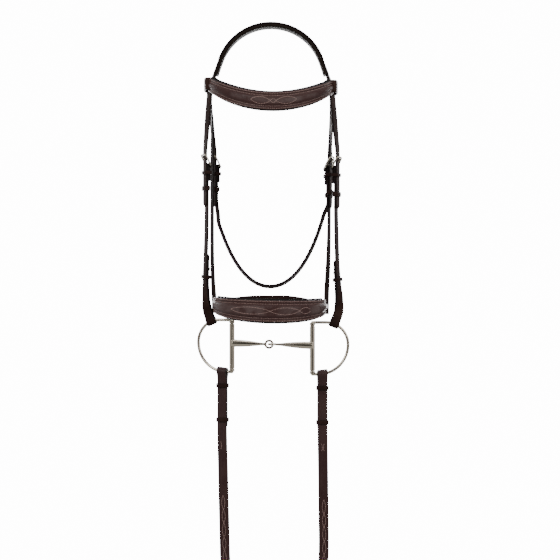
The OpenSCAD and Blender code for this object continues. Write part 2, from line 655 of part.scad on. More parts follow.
// The hank's outer shape: round ends and a drawn-in waist, as deep as the folded straps are wide
module rein_hank() {
    steps = 12;
    top = hank_top - hank_end_r;
    bottom = hank_bottom + hank_end_r;
    function half(t) = hank_waist + (hank_end_r - hank_waist) * pow(2 * t - 1, 2);
    side = [for (i = [1:steps - 1]) let (t = i / steps) [half(t), lerp(bottom, top, t)]];
    over = [for (i = [0:steps]) [hank_end_r * cos(180 * i / steps), top + hank_end_r * sin(180 * i / steps)]];
    under = [for (i = [0:steps]) [-hank_end_r * cos(180 * i / steps), bottom - hank_end_r * sin(180 * i / steps)]];
    back = [for (i = [steps - 1:-1:1]) [-side[i - 1][0], side[i - 1][1]]];
    color(leather) translate([hank_x - rein_w / 2, hank_y, 0]) rotate([90, 0, 90])
        linear_extrude(height = rein_w) polygon(concat(side, over, back, under));
}
module hank_tie() {
    mid = (hank_top + hank_bottom) / 2;
    color(leather) translate([hank_x, hank_y, mid])
        keeper(rein_w, -hank_waist - 0.2, hank_waist + 0.2, 9);
}

// The buckle that joins the reins' ends, at the foot of the hank's rear side
end_place = [hank_x, hank_y + hank_end_r, hank_bottom + 45];
module at_rein_end() {
    translate(end_place) rotate([180, 0, 0]) children();
}
module rein_buckle() { color(steel) at_rein_end() buckle(rein_w); }
module rein_buckle_tongue() { color(steel) at_rein_end() tongue(); }
module rein_end_keeper() {
    color(leather) at_rein_end() translate([0, 0, -14]) keeper(rein_w, -5.2, 2.4, 7);
}

crownpiece();
crown_padding();
noseband_headstrap();
near_hanger();
hanger_buckle();
hanger_keeper();
cheekpiece_off();
cheekpiece_near();
cheek_buckle_off();
cheek_buckle_near();
cheek_keeper_off();
cheek_keeper_near();
hook_keeper_off();
hook_keeper_near();
cheek_studs();
throatlatch_off_end();
throatlatch_near_end();
throat_buckle_off();
throat_buckle_near();
throat_keeper_off();
throat_keeper_near();
browband();
browband_lining();
browband_loop_off();
browband_loop_near();
throatlatch();
noseband();
noseband_lining();
chin_strap();
chin_buckle();
chin_keeper();
dee_off();
dee_near();
mouthpiece_off();
mouthpiece_near();
rein_billet_off();
rein_billet_near();
rein_studs();
rein_keepers_off();
rein_keepers_near();
rein_off();
rein_near();
rein_hank();
rein_buckle();
rein_buckle_tongue();
rein_end_keeper();
hank_tie();
cheek_tongue_off();
cheek_tongue_near();
throat_tongue_off();
throat_tongue_near();
hanger_tongue();
chin_tongue();
cheek_runner_off();
cheek_runner_near();
throat_runner_off();
throat_runner_near();
hanger_runner();
chin_runner();
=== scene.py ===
"""Snaffle bridle: leather, stitching, steel and stage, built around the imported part."""

import json
import math
from contextlib import contextmanager

import bpy
import numpy as np
from bpy.props import FloatProperty, FloatVectorProperty, PointerProperty
from mathutils import Matrix, Vector

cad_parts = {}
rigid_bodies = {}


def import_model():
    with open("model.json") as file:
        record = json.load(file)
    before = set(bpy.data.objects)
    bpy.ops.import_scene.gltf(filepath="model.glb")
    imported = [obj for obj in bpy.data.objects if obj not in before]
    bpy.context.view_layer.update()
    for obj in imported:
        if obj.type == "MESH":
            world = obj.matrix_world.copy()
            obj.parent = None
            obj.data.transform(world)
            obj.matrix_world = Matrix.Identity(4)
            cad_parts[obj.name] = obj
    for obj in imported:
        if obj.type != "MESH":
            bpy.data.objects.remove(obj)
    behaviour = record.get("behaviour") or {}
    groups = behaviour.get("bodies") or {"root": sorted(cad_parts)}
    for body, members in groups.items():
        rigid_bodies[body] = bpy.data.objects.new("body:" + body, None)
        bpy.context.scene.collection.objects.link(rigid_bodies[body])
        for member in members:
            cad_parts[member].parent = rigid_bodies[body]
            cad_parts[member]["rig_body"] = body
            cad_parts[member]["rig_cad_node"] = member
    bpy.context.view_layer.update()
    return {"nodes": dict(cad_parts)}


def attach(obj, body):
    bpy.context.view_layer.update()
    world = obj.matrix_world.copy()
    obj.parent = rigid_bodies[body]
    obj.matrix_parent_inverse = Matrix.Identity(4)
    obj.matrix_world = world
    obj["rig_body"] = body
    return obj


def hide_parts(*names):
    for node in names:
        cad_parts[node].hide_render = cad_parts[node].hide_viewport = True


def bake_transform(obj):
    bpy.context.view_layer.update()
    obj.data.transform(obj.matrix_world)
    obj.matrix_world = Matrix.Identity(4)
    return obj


bl_info = {
    "name": "Snaffle bridle",
    "version": (1, 0, 0),
    "blender": (4, 5, 0),
    "location": "3D View > Sidebar > Bridle",
    "description": "Builds a padded snaffle bridle with its bit and reins",
    "category": "Object",
}

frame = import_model()

# The routes below are in millimetres, as in the part's source; MM turns them into metres.
MM = 0.001
OFF, NEAR = -1, 1
LEATHER_T = 2.6  # thickness of a strap
REIN_T = 3.2  # thickness of a rein
REIN_W = 16.8  # width of a rein and of its billet
NOSE_STRAP_W = 13.0  # width of the noseband's headstrap, hanger and chin strap
KEEPER_T = 1.5  # thickness of the keepers and runners
KEEPER_FRONT = 3.0  # outer face of the straps inside a keeper
FRAME_H = 17  # height of a buckle's frame
TOP_BAR = 4.7  # middle of a frame's top bar, outwards from the strap's line
BAR = -4.05  # middle of the bar that a strap folds round
BEND_R = 2.9  # radius of the leather's bend round the bar
LOWER = -1.15  # middle of the buckle's own strap
UPPER = 1.7  # middle of the strap that passes through the buckle
TAIL = -4.05  # middle of the end that is folded back
SAME_PLACE = 0.00001  # metres within which two corners are merged
TIP = -67  # height of the upper strap's point, from the bar


# ---- settings ----


def colour(name, description, default):
    """A colour that can be picked in the sidebar."""
    return FloatVectorProperty(name=name, description=description, subtype="COLOR",
                               default=default, min=0, max=1)


class BridleLeather(bpy.types.PropertyGroup):
    """Colours and gloss of the leather."""

    strap: colour("Straps", "Colour of the plain straps", (0.0135, 0.0068, 0.0058))
    fancy: colour("Raised leather", "Colour of the raised browband and noseband",
                  (0.0290, 0.0125, 0.0118))
    worn: colour("Worn leather", "Colour where the dye has rubbed thin", (0.060, 0.034, 0.027))
    # polished is a painted sheen: a lighter grey mixed into the middle of the raised bands in place of
    # a highlight.
    polished: colour("Painted sheen", "Colour of the painted sheen in the middle of the raised bands",
                     (0.085, 0.062, 0.059))
    edge: colour("Edge dye", "Colour of the dyed edges", (0.009, 0.007, 0.007))
    lining: colour("Lining", "Colour of the padded lining", (0.0065, 0.0062, 0.0060))
    pad: colour("Crown pad", "Colour of the pad under the crownpiece", (0.0095, 0.0068, 0.0055))
    roughness: FloatProperty(
        name="Roughness", description="Roughness of the waxed grain", subtype="FACTOR",
        default=0.44, min=0.1, max=0.9)


class BridleTrim(bpy.types.PropertyGroup):
    """Thread and metal."""

    thread: colour("Thread", "Colour of the stitching", (0.36, 0.235, 0.205))
    steel: colour("Steel", "Colour of the bit and buckles", (0.37, 0.33, 0.265))
    steel_roughness: FloatProperty(
        name="Steel roughness", description="Roughness of the polished steel",
        subtype="FACTOR", default=0.2, min=0.02, max=0.8)
    stitch: FloatProperty(
        name="Stitch length", description="Length of one stitch", subtype="DISTANCE",
        default=0.0021, min=0.001, max=0.004)
    stitch_width: FloatProperty(
        name="Stitch width", description="Width of the thread", subtype="DISTANCE",
        default=0.0008, min=0.0004, max=0.0014)


class BridleStage(bpy.types.PropertyGroup):
    """Camera, light and backdrop."""

    lens: FloatProperty(
        name="Lens", description="Focal length of the camera", unit="CAMERA",
        default=116.0, min=30, max=300)
    distance: FloatProperty(
        name="Distance", description="How far the camera stands in front", subtype="DISTANCE",
        default=3.0, min=1, max=8)
    key: FloatProperty(
        name="Key light", description="Power of the main soft light", unit="POWER",
        default=62.0, min=0)
    fill: FloatProperty(
        name="Fill light", description="Power of the light on the other side", unit="POWER",
        default=36.0, min=0)
    back: FloatProperty(
        name="Back lights", description="Power of each light behind the object", unit="POWER",
        default=24.0, min=0)
    wall: FloatProperty(
        name="Lit wall", description="Brightness of the wall behind the object",
        default=14.0, min=0)
    room: FloatProperty(
        name="Room light", description="Strength of the light from all round",
        default=0.85, min=0, max=3)
    backdrop: colour("Backdrop", "Colour of the wall", (0.97, 0.97, 0.97))


# ---- shading ----


class Number:
    """A shader socket that takes part in sums."""

    def __init__(self, shader, socket):
        self.shader, self.socket = shader, socket

    def math(self, operation, other=None, swap=False):
        values = [self] if other is None else [other, self] if swap else [self, other]
        node = self.shader.node("ShaderNodeMath", {"operation": operation},
                                {i: v for i, v in enumerate(values)})
        return Number(self.shader, node.outputs[0])

    def __add__(self, other):
        return self.math("ADD", other)

    __radd__ = __add__

    def __mul__(self, other):
        return self.math("MULTIPLY", other)

    __rmul__ = __mul__

    def __sub__(self, other):
        return self.math("SUBTRACT", other)

    def __rsub__(self, other):
        return self.math("SUBTRACT", other, swap=True)

    def span(self, low, high, start=0.0, end=1.0):
        """start below low, end above high, and a smooth change in between."""
        node = self.shader.node(
            "ShaderNodeMapRange", {"interpolation_type": "SMOOTHSTEP"},
            {"Value": self, "From Min": low, "From Max": high, "To Min": start, "To Max": end})
        return Number(self.shader, node.outputs["Result"])


class Shader:
    """A material with one Principled surface, built node by node."""

    def __init__(self, name):
        self.material = bpy.data.materials.new(name)
        self.material.use_nodes = True
        self.tree = self.material.node_tree
        self.surface = self.tree.nodes["Principled BSDF"]

    def node(self, kind, settings=None, values=None):
        """A node with its settings, and the values or links of its sockets."""
        node = self.tree.nodes.new(kind)
        for key, value in (settings or {}).items():
            if key == "stops":
                ramp = node.color_ramp
                while len(ramp.elements) < len(value):
                    ramp.elements.new(0.5)
                for element, (place, colour) in zip(ramp.elements, value):
                    element.position, element.color = place, colour
            else:
                setattr(node, key, value)
        for key, value in (values or {}).items():
            self.put(node.inputs[key], value)
        return node

    def put(self, socket, value):
        if isinstance(value, Number):
            self.tree.links.new(value.socket, socket)
        elif isinstance(value, bpy.types.NodeSocket):
            self.tree.links.new(value, socket)
        elif hasattr(value, "__len__") and len(value) == 3 and socket.type == "RGBA":
            socket.default_value = (*value, 1)
        else:
            socket.default_value = value

    def place(self):
        return self.node("ShaderNodeTexCoord").outputs["Object"]

    def noise(self, scale, detail=3.0, where=None, roughness=0.55):
        node = self.node("ShaderNodeTexNoise", {}, {
            "Vector": where or self.place(), "Scale": scale, "Detail": detail,
            "Roughness": roughness})
        return Number(self, node.outputs["Fac"])

    def cells(self, scale, where=None):
        node = self.node("ShaderNodeTexVoronoi", {"feature": "DISTANCE_TO_EDGE"}, {
            "Vector": where or self.place(), "Scale": scale})
        return Number(self, node.outputs["Distance"])

    def edge(self):
        """Distance from the strap's edge, in millimetres."""
        node = self.node("ShaderNodeAttribute", {"attribute_name": "edge_distance"})
        return Number(self, node.outputs["Fac"])

    def mix(self, amount, a, b):
        node = self.node("ShaderNodeMix", {"data_type": "RGBA"})
        self.put(node.inputs[0], amount)
        self.put(node.inputs[6], a)
        self.put(node.inputs[7], b)
        return node.outputs[2]

    def bump(self, height, depth):
        node = self.node("ShaderNodeBump", {}, {"Height": height, "Distance": depth,
                                                "Strength": 1.0})
        self.put(self.surface.inputs["Normal"], node.outputs["Normal"])

    def set(self, **values):
        for key, value in values.items():
            self.put(self.surface.inputs[key.replace("_", " ")], value)
        return self.material


def leather(name, colour, worn_share=0.35, roughness=None, crease=True, wrinkles=0.25,
            gloss=0.012, painted_sheen=0.0):
    """Waxed bridle leather: pores, long stretch lines, worn dye and darker edges; on the raised bands
    also a painted sheen, a lighter grey mixed into their middle in place of a highlight.
    """
    look = bpy.context.scene.bridle_leather
    s = Shader(name)
    patches = s.noise(28.0, 4.0).span(0.42, 0.72)
    speck = s.noise(420.0, 3.0).span(0.35, 0.75)
    edge = s.edge()
    rim = edge.span(0.25, 1.1, 1.0, 0.0)
    near_edge = edge.span(0.8, 3.2, 1.0, 0.0)
    wear = (patches * 0.7 + speck * 0.3) * worn_share + near_edge * 0.12 * patches
    tone = s.mix(wear, colour, look.worn)
    tone = s.mix(rim * 0.85, tone, look.edge)
    # Painted sheen: a lighter grey mixed into the band's middle, in patches, in place of a highlight.
    if painted_sheen:
        middle = edge.span(8.0, 13.0) * s.noise(34.0, 2.0).span(0.38, 0.62) * painted_sheen
        tone = s.mix(middle, tone, look.polished)
    pores = s.cells(900.0).span(0.0, 0.16)
    fine = s.noise(1500.0, 2.0)
    stretch = s.noise(130.0, 3.0)
    height = pores * 0.45 + fine * 0.3 + stretch * wrinkles
    if crease:
        groove = edge.span(1.1, 1.6) * edge.span(1.6, 2.2, 1.0, 0.0)
        height = height - groove * 1.4
    s.bump(height, 0.00012)
    base = look.roughness if roughness is None else roughness
    shine = speck * 0.12 + patches * 0.08 + (base - 0.1)
    return s.set(Base_Color=tone, Roughness=shine, Specular_IOR_Level=gloss)


def soft_lining(name, colour):
    """Fine-grained lining leather."""
    s = Shader(name)
    patches = s.noise(60.0, 4.0)
    grain = s.cells(1200.0).span(0.0, 0.2)
    tone = s.mix(patches.span(0.35, 0.75) * 0.6, colour, tuple(1.6 * c for c in colour))
    s.bump(grain * 0.5 + s.noise(180.0, 3.0) * 0.6, 0.00014)
    return s.set(Base_Color=tone, Roughness=patches * 0.16 + 0.5, Specular_IOR_Level=0.01)


def thread(name, colour):
    """Waxed thread with a twist."""
    s = Shader(name)
    twist = s.node("ShaderNodeTexWave", {"bands_direction": "DIAGONAL"},
                   {"Vector": s.place(), "Scale": 900.0, "Distortion": 1.0})
    band = Number(s, twist.outputs["Fac"])
    dark = tuple(0.6 * c for c in colour)
    tone = s.mix(band * 0.5 + s.noise(300.0) * 0.4, colour, dark)
    s.bump(band, 0.00008)
    return s.set(Base_Color=tone, Roughness=s.noise(500.0) * 0.2 + 0.5)


def steel(name, colour, roughness):
    """Polished stainless steel, a little dulled by handling."""
    s = Shader(name)
    haze = s.noise(45.0, 4.0).span(0.35, 0.7)
    scratch = s.noise(700.0, 2.0)
    tone = s.mix(haze * 0.5, colour, tuple(c * 0.8 for c in colour))
    s.bump(scratch * 0.5 + s.noise(90.0, 2.0), 0.00003)
    return s.set(Base_Color=tone, Metallic=1.0,
                 Roughness=haze * 0.1 + scratch * 0.04 + (roughness - 0.06))


def material(name):
    return bpy.data.materials[name]


# ---- modelling ----


def deselect():
    if bpy.context.object and bpy.context.object.mode != "OBJECT":
        bpy.ops.object.mode_set(mode="OBJECT")
    bpy.ops.object.select_all(action="DESELECT")


def pick(piece):
    deselect()
    piece.select_set(True)
    bpy.context.view_layer.objects.active = piece


@contextmanager
def all_selected():
    """Edit mode on the active piece, with its whole mesh selected."""
    bpy.ops.object.mode_set(mode="EDIT")
    bpy.ops.mesh.select_all(action="SELECT")
    yield
    bpy.ops.object.mode_set(mode="OBJECT")


def point(*numbers):
    return Vector(numbers)


def across_at(side, turn):
    a = math.radians(turn)
    return point(math.cos(a), side * math.sin(a), 0)


def out_at(side, turn):
    a = math.radians(turn)
    return point(side * math.sin(a), -math.cos(a), 0)


class Route:
    """The smooth line that a strap follows. Each stop is a point, a width direction, a width and a
    thickness; the strap's outer face is on the side of direction x across."""

    def __init__(self, stops, step=4.0, closed=False):
        points = [s[0] for s in stops]
        count = len(points)
        last = count if closed else count - 1
        legs = [points[(i + 1) % count] - points[i] for i in range(last)]
        sizes = [max(leg.length, 1e-6) for leg in legs]
        heads = [leg.normalized() for leg in legs]

        def tangent(i):
            if closed:
                i = i % count
            if not closed and i == 0:
                return heads[0]
            if not closed and i == count - 1:
                return heads[-1]
            return (heads[i - 1] * sizes[i] + heads[i] * sizes[i - 1]).normalized()

        rows = []
        for i in range(last):
            a, b = tangent(i), tangent(i + 1)
            j = (i + 1) % count
            turn = math.degrees(a.angle(b, 0))
            parts = max(1, math.ceil(sizes[i] / step), math.ceil(turn / 12))
            for k in range(parts):
                rows.append(self.between(stops[i], stops[j], a, b, sizes[i], k / parts))
        if not closed:
            rows.append(self.between(stops[-1], stops[-1], heads[-1], heads[-1], 0, 0))
        self.closed = closed
        self.points = [r[0] for r in rows]
        self.widths = [r[2] for r in rows]
        self.thick = [r[3] for r in rows]
        self.along, self.heads, self.across, self.out = [0.0], [], [], []
        n = len(rows)
        for i in range(1, n):
            self.along.append(self.along[-1] + (self.points[i] - self.points[i - 1]).length)
        for i, row in enumerate(rows):
            before = self.points[(i - 1) % n] if closed else self.points[max(i - 1, 0)]
            after = self.points[(i + 1) % n] if closed else self.points[min(i + 1, n - 1)]
            head = (after - before).normalized()
            across = (row[1] - head * row[1].dot(head)).normalized()
            self.heads.append(head)
            self.across.append(across)
            self.out.append(head.cross(across))

    @staticmethod
    def between(p, q, a, b, size, t):
        u = 1 - t
        place = (p[0] * (1 + 2 * t) * u * u + a * size * t * u * u
                 + q[0] * t * t * (3 - 2 * t) - b * size * t * t * u)
        return place, p[1].lerp(q[1], t), p[2] * u + q[2] * t, p[3] * u + q[3] * t

    def at(self, along):
        """Point, heading, across and out at a distance along the route."""
        i = int(np.searchsorted(self.along, along)) - 1
        i = min(max(i, 0), len(self.along) - 2)
        t = (along - self.along[i]) / max(self.along[i + 1] - self.along[i], 1e-9)
        t = min(max(t, 0.0), 1.0)
        return [rows[i].lerp(rows[i + 1], t)
                for rows in (self.points, self.heads, self.across, self.out)]

    def nearest(self, goal):
        """How far along the route its nearest row to a point is."""
        i = min(range(len(self.points)), key=lambda k: (self.points[k] - goal).length)
        return self.along[i]


def strap_section(width, thickness):
    """Ring of (across, out, distance from the edge): rounded edges and a slightly crowned face."""
    half, thick = width / 2, thickness / 2
    r = min(thick * 0.85, 1.1, half * 0.6)
    inner = max(half - r, 0.0)
    ring = []
    for side, face, start in ((1, 1, 0), (-1, 1, 90), (-1, -1, 180), (1, -1, 270)):
        for k in range(4):
            a = math.radians(start + 30 * k)
            ring.append((side * inner + r * math.cos(a), face * (thick - r) + r * math.sin(a)))
        if (side, face) == (1, 1):
            for share in (0.8, 0.45, 0, -0.45, -0.8):
                ring.append((inner * share, thick + 0.12 * (1 - share * share)))
        if (side, face) == (-1, -1):
            for share in (-0.5, 0.5):
                ring.append((inner * share, -thick))
    return [(s, h, half - abs(s)) for s, h in ring]


def raised(border, rise):
    """A section whose face rises to a padded ridge inside a flat border."""
    def height(inside, thick):
        if inside <= border:
            return thick - 0.35 * math.exp(-((inside - border) / 0.7) ** 2)
        lift = math.sin(min((inside - border) / 5.0, 1.0) * math.pi / 2)
        return thick - 0.35 * math.exp(-((inside - border) / 0.7) ** 2) + rise * lift

    def section(width, thickness):
        half, thick = width / 2, thickness / 2
        r = thick * 0.8
        insides = [r, 1.9, border - 0.7, border, border + 0.7, border + 1.6, border + 2.8,
                   border + 4.2, border + 6.0]
        insides = [v for v in insides if v < half - 0.3]
        ring = [(half - r + r * math.cos(a), thick - r + r * math.sin(a))
                for a in (0, math.pi / 6, math.pi / 3)]
        ring += [(half - v, height(v, thick)) for v in insides]
        ring += [(0.0, height(half, thick))]
        ring += [(-s, h) for s, h in reversed(ring[3:-1])]
        ring += [(-(half - r) + r * math.cos(a), thick - r + r * math.sin(a))
                 for a in (2 * math.pi / 3, 5 * math.pi / 6, math.pi)]
        ring += [(-(half - r), -thick), (-half * 0.4, -thick), (half * 0.4, -thick),
                 (half - r, -thick)]
        return [(s, h, half - abs(s)) for s, h in ring]

    section.height = height
    section.fixed = True
    return section


def round_section(sides=14):
    def section(width, thickness):
        return [(width / 2 * math.cos(a), thickness / 2 * math.sin(a), 5.0)
                for a in (2 * math.pi * k / sides for k in range(sides))]
    return section


def cushion_section(width, thickness):
    """A stuffed section: round edges and a crowned inner face."""
    half, thick = width / 2, thickness / 2
    ring = []
    for k in range(28):
        a = 2 * math.pi * k / 28
        c, s = math.cos(a), math.sin(a)
        ring.append((half * math.copysign(abs(c) ** 0.45, c), thick * math.copysign(abs(s) ** 0.8, s)))
    return [(s, h, half - abs(s)) for s, h in ring]


def swept(name, route, section, smooth=50):
    """A grid rolled into the section at every row of the route, merged and closed at its ends."""
    count = len(route.points)
    rings = [section(w, t) for w, t in zip(route.widths, route.thick)]
    columns = len(rings[0]) + 1
    rows = count + 1 if route.closed else count
    deselect()
    bpy.ops.mesh.primitive_grid_add(x_subdivisions=rows - 1, y_subdivisions=columns - 1, size=2)
    piece = bpy.context.object
    piece.name = piece.data.name = name
    mesh = piece.data
    flat = np.zeros(len(mesh.vertices) * 3)
    mesh.vertices.foreach_get("co", flat)
    flat = flat.reshape(-1, 3)
    row = np.rint((flat[:, 0] + 1) / 2 * (rows - 1)).astype(int)
    column = np.rint((flat[:, 1] + 1) / 2 * (columns - 1)).astype(int)
    places, strap_uv, edges = [], [], []
    for i, j in zip(row, column):
        k = i % count
        s, h, inside = rings[k][j % (columns - 1)]
        places.append((route.points[k] + route.across[k] * s + route.out[k] * h) * MM)
        strap_uv.append((route.along[k] * MM, s * MM))
        edges.append(inside)
    mesh.vertices.foreach_set("co", np.array(places).ravel())
    corners = np.zeros(len(mesh.loops), int)
    mesh.loops.foreach_get("vertex_index", corners)
    mesh.uv_layers[0].data.foreach_set("uv", np.array(strap_uv)[corners].ravel())
    mesh.attributes.new("edge_distance", "FLOAT", "POINT").data.foreach_set(
        "value", np.array(edges))
    with all_selected():
        bpy.ops.mesh.remove_doubles(threshold=SAME_PLACE)
        bpy.ops.mesh.fill_holes(sides=0)
        bpy.ops.mesh.select_all(action="SELECT")
        bpy.ops.mesh.normals_make_consistent(inside=False)
    bpy.ops.object.shade_smooth_by_angle(angle=math.radians(smooth))
    return piece


def joined(name, pieces):
    """Several shells as one piece."""
    deselect()
    for piece in pieces:
        piece.select_set(True)
    bpy.context.view_layer.objects.active = pieces[0]
    if len(pieces) > 1:
        bpy.ops.object.join()
    pieces[0].name = pieces[0].data.name = name
    return pieces[0]


def finished(piece, body, look, nodes=None):
    """Gives a piece its material and body, and hides the nodes it stands for: the one with its
    own name, if no others are given."""
    own = piece.name.split(".")[0]
    piece.name = piece.data.name = own + "_finished"
    piece.data.materials.clear()
    piece.data.materials.append(material(look))
    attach(piece, body)
    nodes = [own] if nodes is None else nodes
    if nodes:
        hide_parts(*nodes)
    return piece


def stops(points, acrosses, widths, thickness):
    """Stops of a route; acrosses, widths and thickness are one for all, or one for each."""
    def each(value, kind):
        return [value] * len(points) if isinstance(value, kind) else list(value)
    return list(zip(points, each(acrosses, Vector), each(widths, (int, float)),
                    each(thickness, (int, float))))


def pointed(route_stops, reach=7.0, tip=0.3):
    """Adds a rounded point to the last stop of a strap."""
    end, before = route_stops[-1], route_stops[-2]
    head = (end[0] - before[0]).normalized()
    width = end[2]
    base = end[0] - head * reach
    shape = [(0.0, 1.0), (0.35, 0.96), (0.62, 0.84), (0.82, 0.66), (0.94, 0.46), (1.0, tip)]
    return route_stops[:-1] + [(base + head * reach * t, end[1], width * w, end[3])
                               for t, w in shape]


_stitch = {}


def one_stitch():
    """One low, long bead of thread, lying along X on the XY plane."""
    if not _stitch:
        size = bpy.context.scene.bridle_trim
        deselect()
        bpy.ops.mesh.primitive_uv_sphere_add(segments=6, ring_count=4, radius=1)
        bead = bpy.context.object
        shape = (size.stitch / 2, size.stitch_width / 2, size.stitch_width * 0.4)
        with all_selected():
            bpy.ops.transform.rotate(value=math.pi / 2, orient_axis="Y",
                                     center_override=(0, 0, 0))
            bpy.ops.transform.resize(value=shape, center_override=(0, 0, 0))
        _stitch["points"] = np.array([v.co[:] for v in bead.data.vertices])
        _stitch["faces"] = [tuple(f.vertices) for f in bead.data.polygons]
        bpy.data.objects.remove(bead)
    return _stitch["points"], _stitch["faces"]


def stitched(name, places):
    """One mesh of stitches, each at (point, heading, out), in millimetres."""
    points, faces = one_stitch()
    all_points, all_faces = [], []
    for place, head, out in places:
        side = out.cross(head).normalized()
        up = head.cross(side).normalized()
        turn = np.array([head.normalized(), side, up])
        all_faces += [tuple(i + len(all_points) for i in face) for face in faces]
        all_points += (points @ turn + np.array(place) * MM).tolist()
    mesh = bpy.data.meshes.new(name)
    mesh.from_pydata(all_points, [], all_faces)
    mesh.update()
    piece = bpy.data.objects.new(name, mesh)
    bpy.context.scene.collection.objects.link(piece)
    pick(piece)
    bpy.ops.object.shade_smooth()
    return piece


def sewn_line(route, line, height, pitch=2.75):
    """Stitches along a line of (along, across) pairs on the face of a strap."""
    steps = [0.0]
    for (a, b), (c, d) in zip(line, line[1:]):
        steps.append(steps[-1] + math.hypot(c - a, d - b))
    places = []
    for k in range(max(1, int(steps[-1] / pitch))):
        goal = (k + 0.5) * pitch
        spots = []
        for g in (goal - 0.5, goal, goal + 0.5):
            i = min(max(int(np.searchsorted(steps, g)) - 1, 0), len(line) - 2)
            t = (g - steps[i]) / max(steps[i + 1] - steps[i], 1e-9)
            along = line[i][0] + (line[i + 1][0] - line[i][0]) * t
            side = line[i][1] + (line[i + 1][1] - line[i][1]) * t
            p, head, across, out = route.at(along)
            spots.append(p + across * side + out * (height(along, side) + 0.08))
        places.append((spots[1], spots[2] - spots[0], out))
    return places


def lenses(start, sizes, half, middle=0.0):
    """Two waves of stitches that cross between lens shapes: pairs of (along, across) lines."""
    upper, lower, along = [], [], start
    for k, (size, high) in enumerate(sizes):
        sign = 1 if k % 2 == 0 else -1
        for n in range(13):
            t = n / 12
            lift = half * high * math.sin(math.pi * t) ** 0.75
            upper.append((along + size * t, middle + sign * lift))
            lower.append((along + size * t, middle - sign * lift))
        along += size
    return [upper, lower]


# ---- the buckled strap pairs and the bit ----


class Pair:
    """Where two straps meet at a buckle: the bar's place, the way they face, and their width."""

    def __init__(self, matrix, width, runner, side=NEAR, turn=0.0):
        self.matrix, self.width, self.runner = matrix, width, runner
        self.side, self.turn = side, turn

    def at(self, out, up, across=0.0):
        return self.matrix @ point(across, -out, up)

    def way(self, out, up, across=0.0):
        return self.matrix.to_3x3() @ point(across, -out, up)


def headstall_pair(side, x, y, bar, turn, width, runner):
    place = Matrix.Translation((x, y, bar)) @ Matrix.Rotation(math.radians(side * turn), 4, "Z")
    return Pair(place, width, runner, side, turn)


CHEEK = {OFF: headstall_pair(OFF, -107.5, -9, -229, 68, 16, -38),
         NEAR: headstall_pair(NEAR, 109, -9, -233, 68, 16, -44)}
THROAT = {OFF: headstall_pair(OFF, -93, 27, -229, 60, 12, -38),
          NEAR: headstall_pair(NEAR, 97, 36, -233, 60, 12, -44)}
HANGER = headstall_pair(NEAR, 98, 14, -231, 68, 13, -42)

NOSE_X, NOSE_Z, NOSE_HALF, NOSE_FRONT = -2.0, -460.0, 90.0, 86.0
LEAN = math.radians(13.5)
CHIN_BAR = (point(NOSE_X + NOSE_HALF, 0, NOSE_Z - 1.8) + point(-math.sin(LEAN), math.cos(LEAN), 0) * 56
            - point(math.cos(LEAN), math.sin(LEAN), 0) * LOWER)
CHIN = Pair(Matrix.Translation(CHIN_BAR) @ Matrix.Rotation(math.pi / 2 + LEAN, 4, "Z")
            @ Matrix.Rotation(math.pi / 2, 4, "Y"), 13, -31)

HANK_X, HANK_Y, HANK_TOP, HANK_BOTTOM = 6.0, -4.0, -1035.0, -1330.0
REIN_END = Pair(Matrix.Translation((HANK_X, HANK_Y + 31, HANK_BOTTOM + 45))
                @ Matrix.Rotation(math.pi, 4, "X"), 16, -14)


def bar_fold(pair, thickness=LEATHER_T):
    """Points of a strap's end: up behind the strap and over the buckle's bar."""
    tail = LOWER - thickness - 0.3
    points = [pair.at(tail, up) for up in (-26, -18, -9, -4)]
    for k in range(10):
        b = math.radians(180 - 20 * k)
        points.append(pair.at(BAR + BEND_R * math.cos(b), BEND_R * math.sin(b)))
    return points


# The dee's ring is an upper and a lower arc that meet at its outermost point, RING_DEPTH from
# the bar and RING_MID up. A strap hangs from each arc, at its own reach from the bar.
RING_DEPTH = 60
RING_MID = 6
UPPER_ARC = 37
LOWER_ARC = 49
CHEEK_REACH = 36.7
REIN_REACH = 16.7
LOOP_FALL = math.asin((CHEEK_REACH - RING_DEPTH + UPPER_ARC) / UPPER_ARC)
REIN_RISE = math.asin((REIN_REACH - RING_DEPTH + LOWER_ARC) / LOWER_ARC)
LOWER_DROP = math.sqrt(LOWER_ARC ** 2 - (REIN_REACH - RING_DEPTH + LOWER_ARC) ** 2)
# The place of each dee's bar, and how far the dee is turned, in degrees.
BIT = {OFF: (point(-64.7, -8, -528.3), 20.0), NEAR: (point(68.7, -8, -532.3), 8.0)}


def ring_eye(side, reach, height):
    """Where a strap hangs on a dee's ring."""
    bar, turn = BIT[side]
    a = math.radians(turn)
    return bar + point(side * math.cos(a), math.sin(a), 0) * reach + point(0, 0, height)


def cheek_eye(side):
    return ring_eye(side, CHEEK_REACH, RING_MID + UPPER_ARC * math.cos(LOOP_FALL))


def rein_eye(side):
    return ring_eye(side, REIN_REACH, RING_MID - LOWER_DROP)


def lined(band, points, widths, thickness):
    """The padded lining of a raised band."""
    pad = swept(band + "_lining", Route(stops(points, point(0, 0, 1), widths, thickness), 3.0),
                cushion_section)
    finished(pad, band, "Lining leather")


def sewn_band(band, route, section, thick, border, ends, pattern):
    """Stitches along both borders of a raised band and round its lenses. The pattern is where
    the lenses begin and their sizes, and ends is how far the rows stop short."""
    def half(along):
        return np.interp(along, route.along, route.widths) / 2

    def height(along, side):
        return section.height(half(along) - abs(side), thick)

    places = []
    for inside in (border, 2.3):
        for sign in (1, -1):
            line = [(along, sign * (half(along) - inside))
                    for along in np.linspace(ends, route.along[-1] - ends, 60)]
            places += sewn_line(route, line, height)
    for line in lenses(*pattern, 5.6):
        places += sewn_line(route, line, height, 2.5)
    finished(stitched(band + "_stitching", places), band, "Pale thread", [])


# ---- operators ----


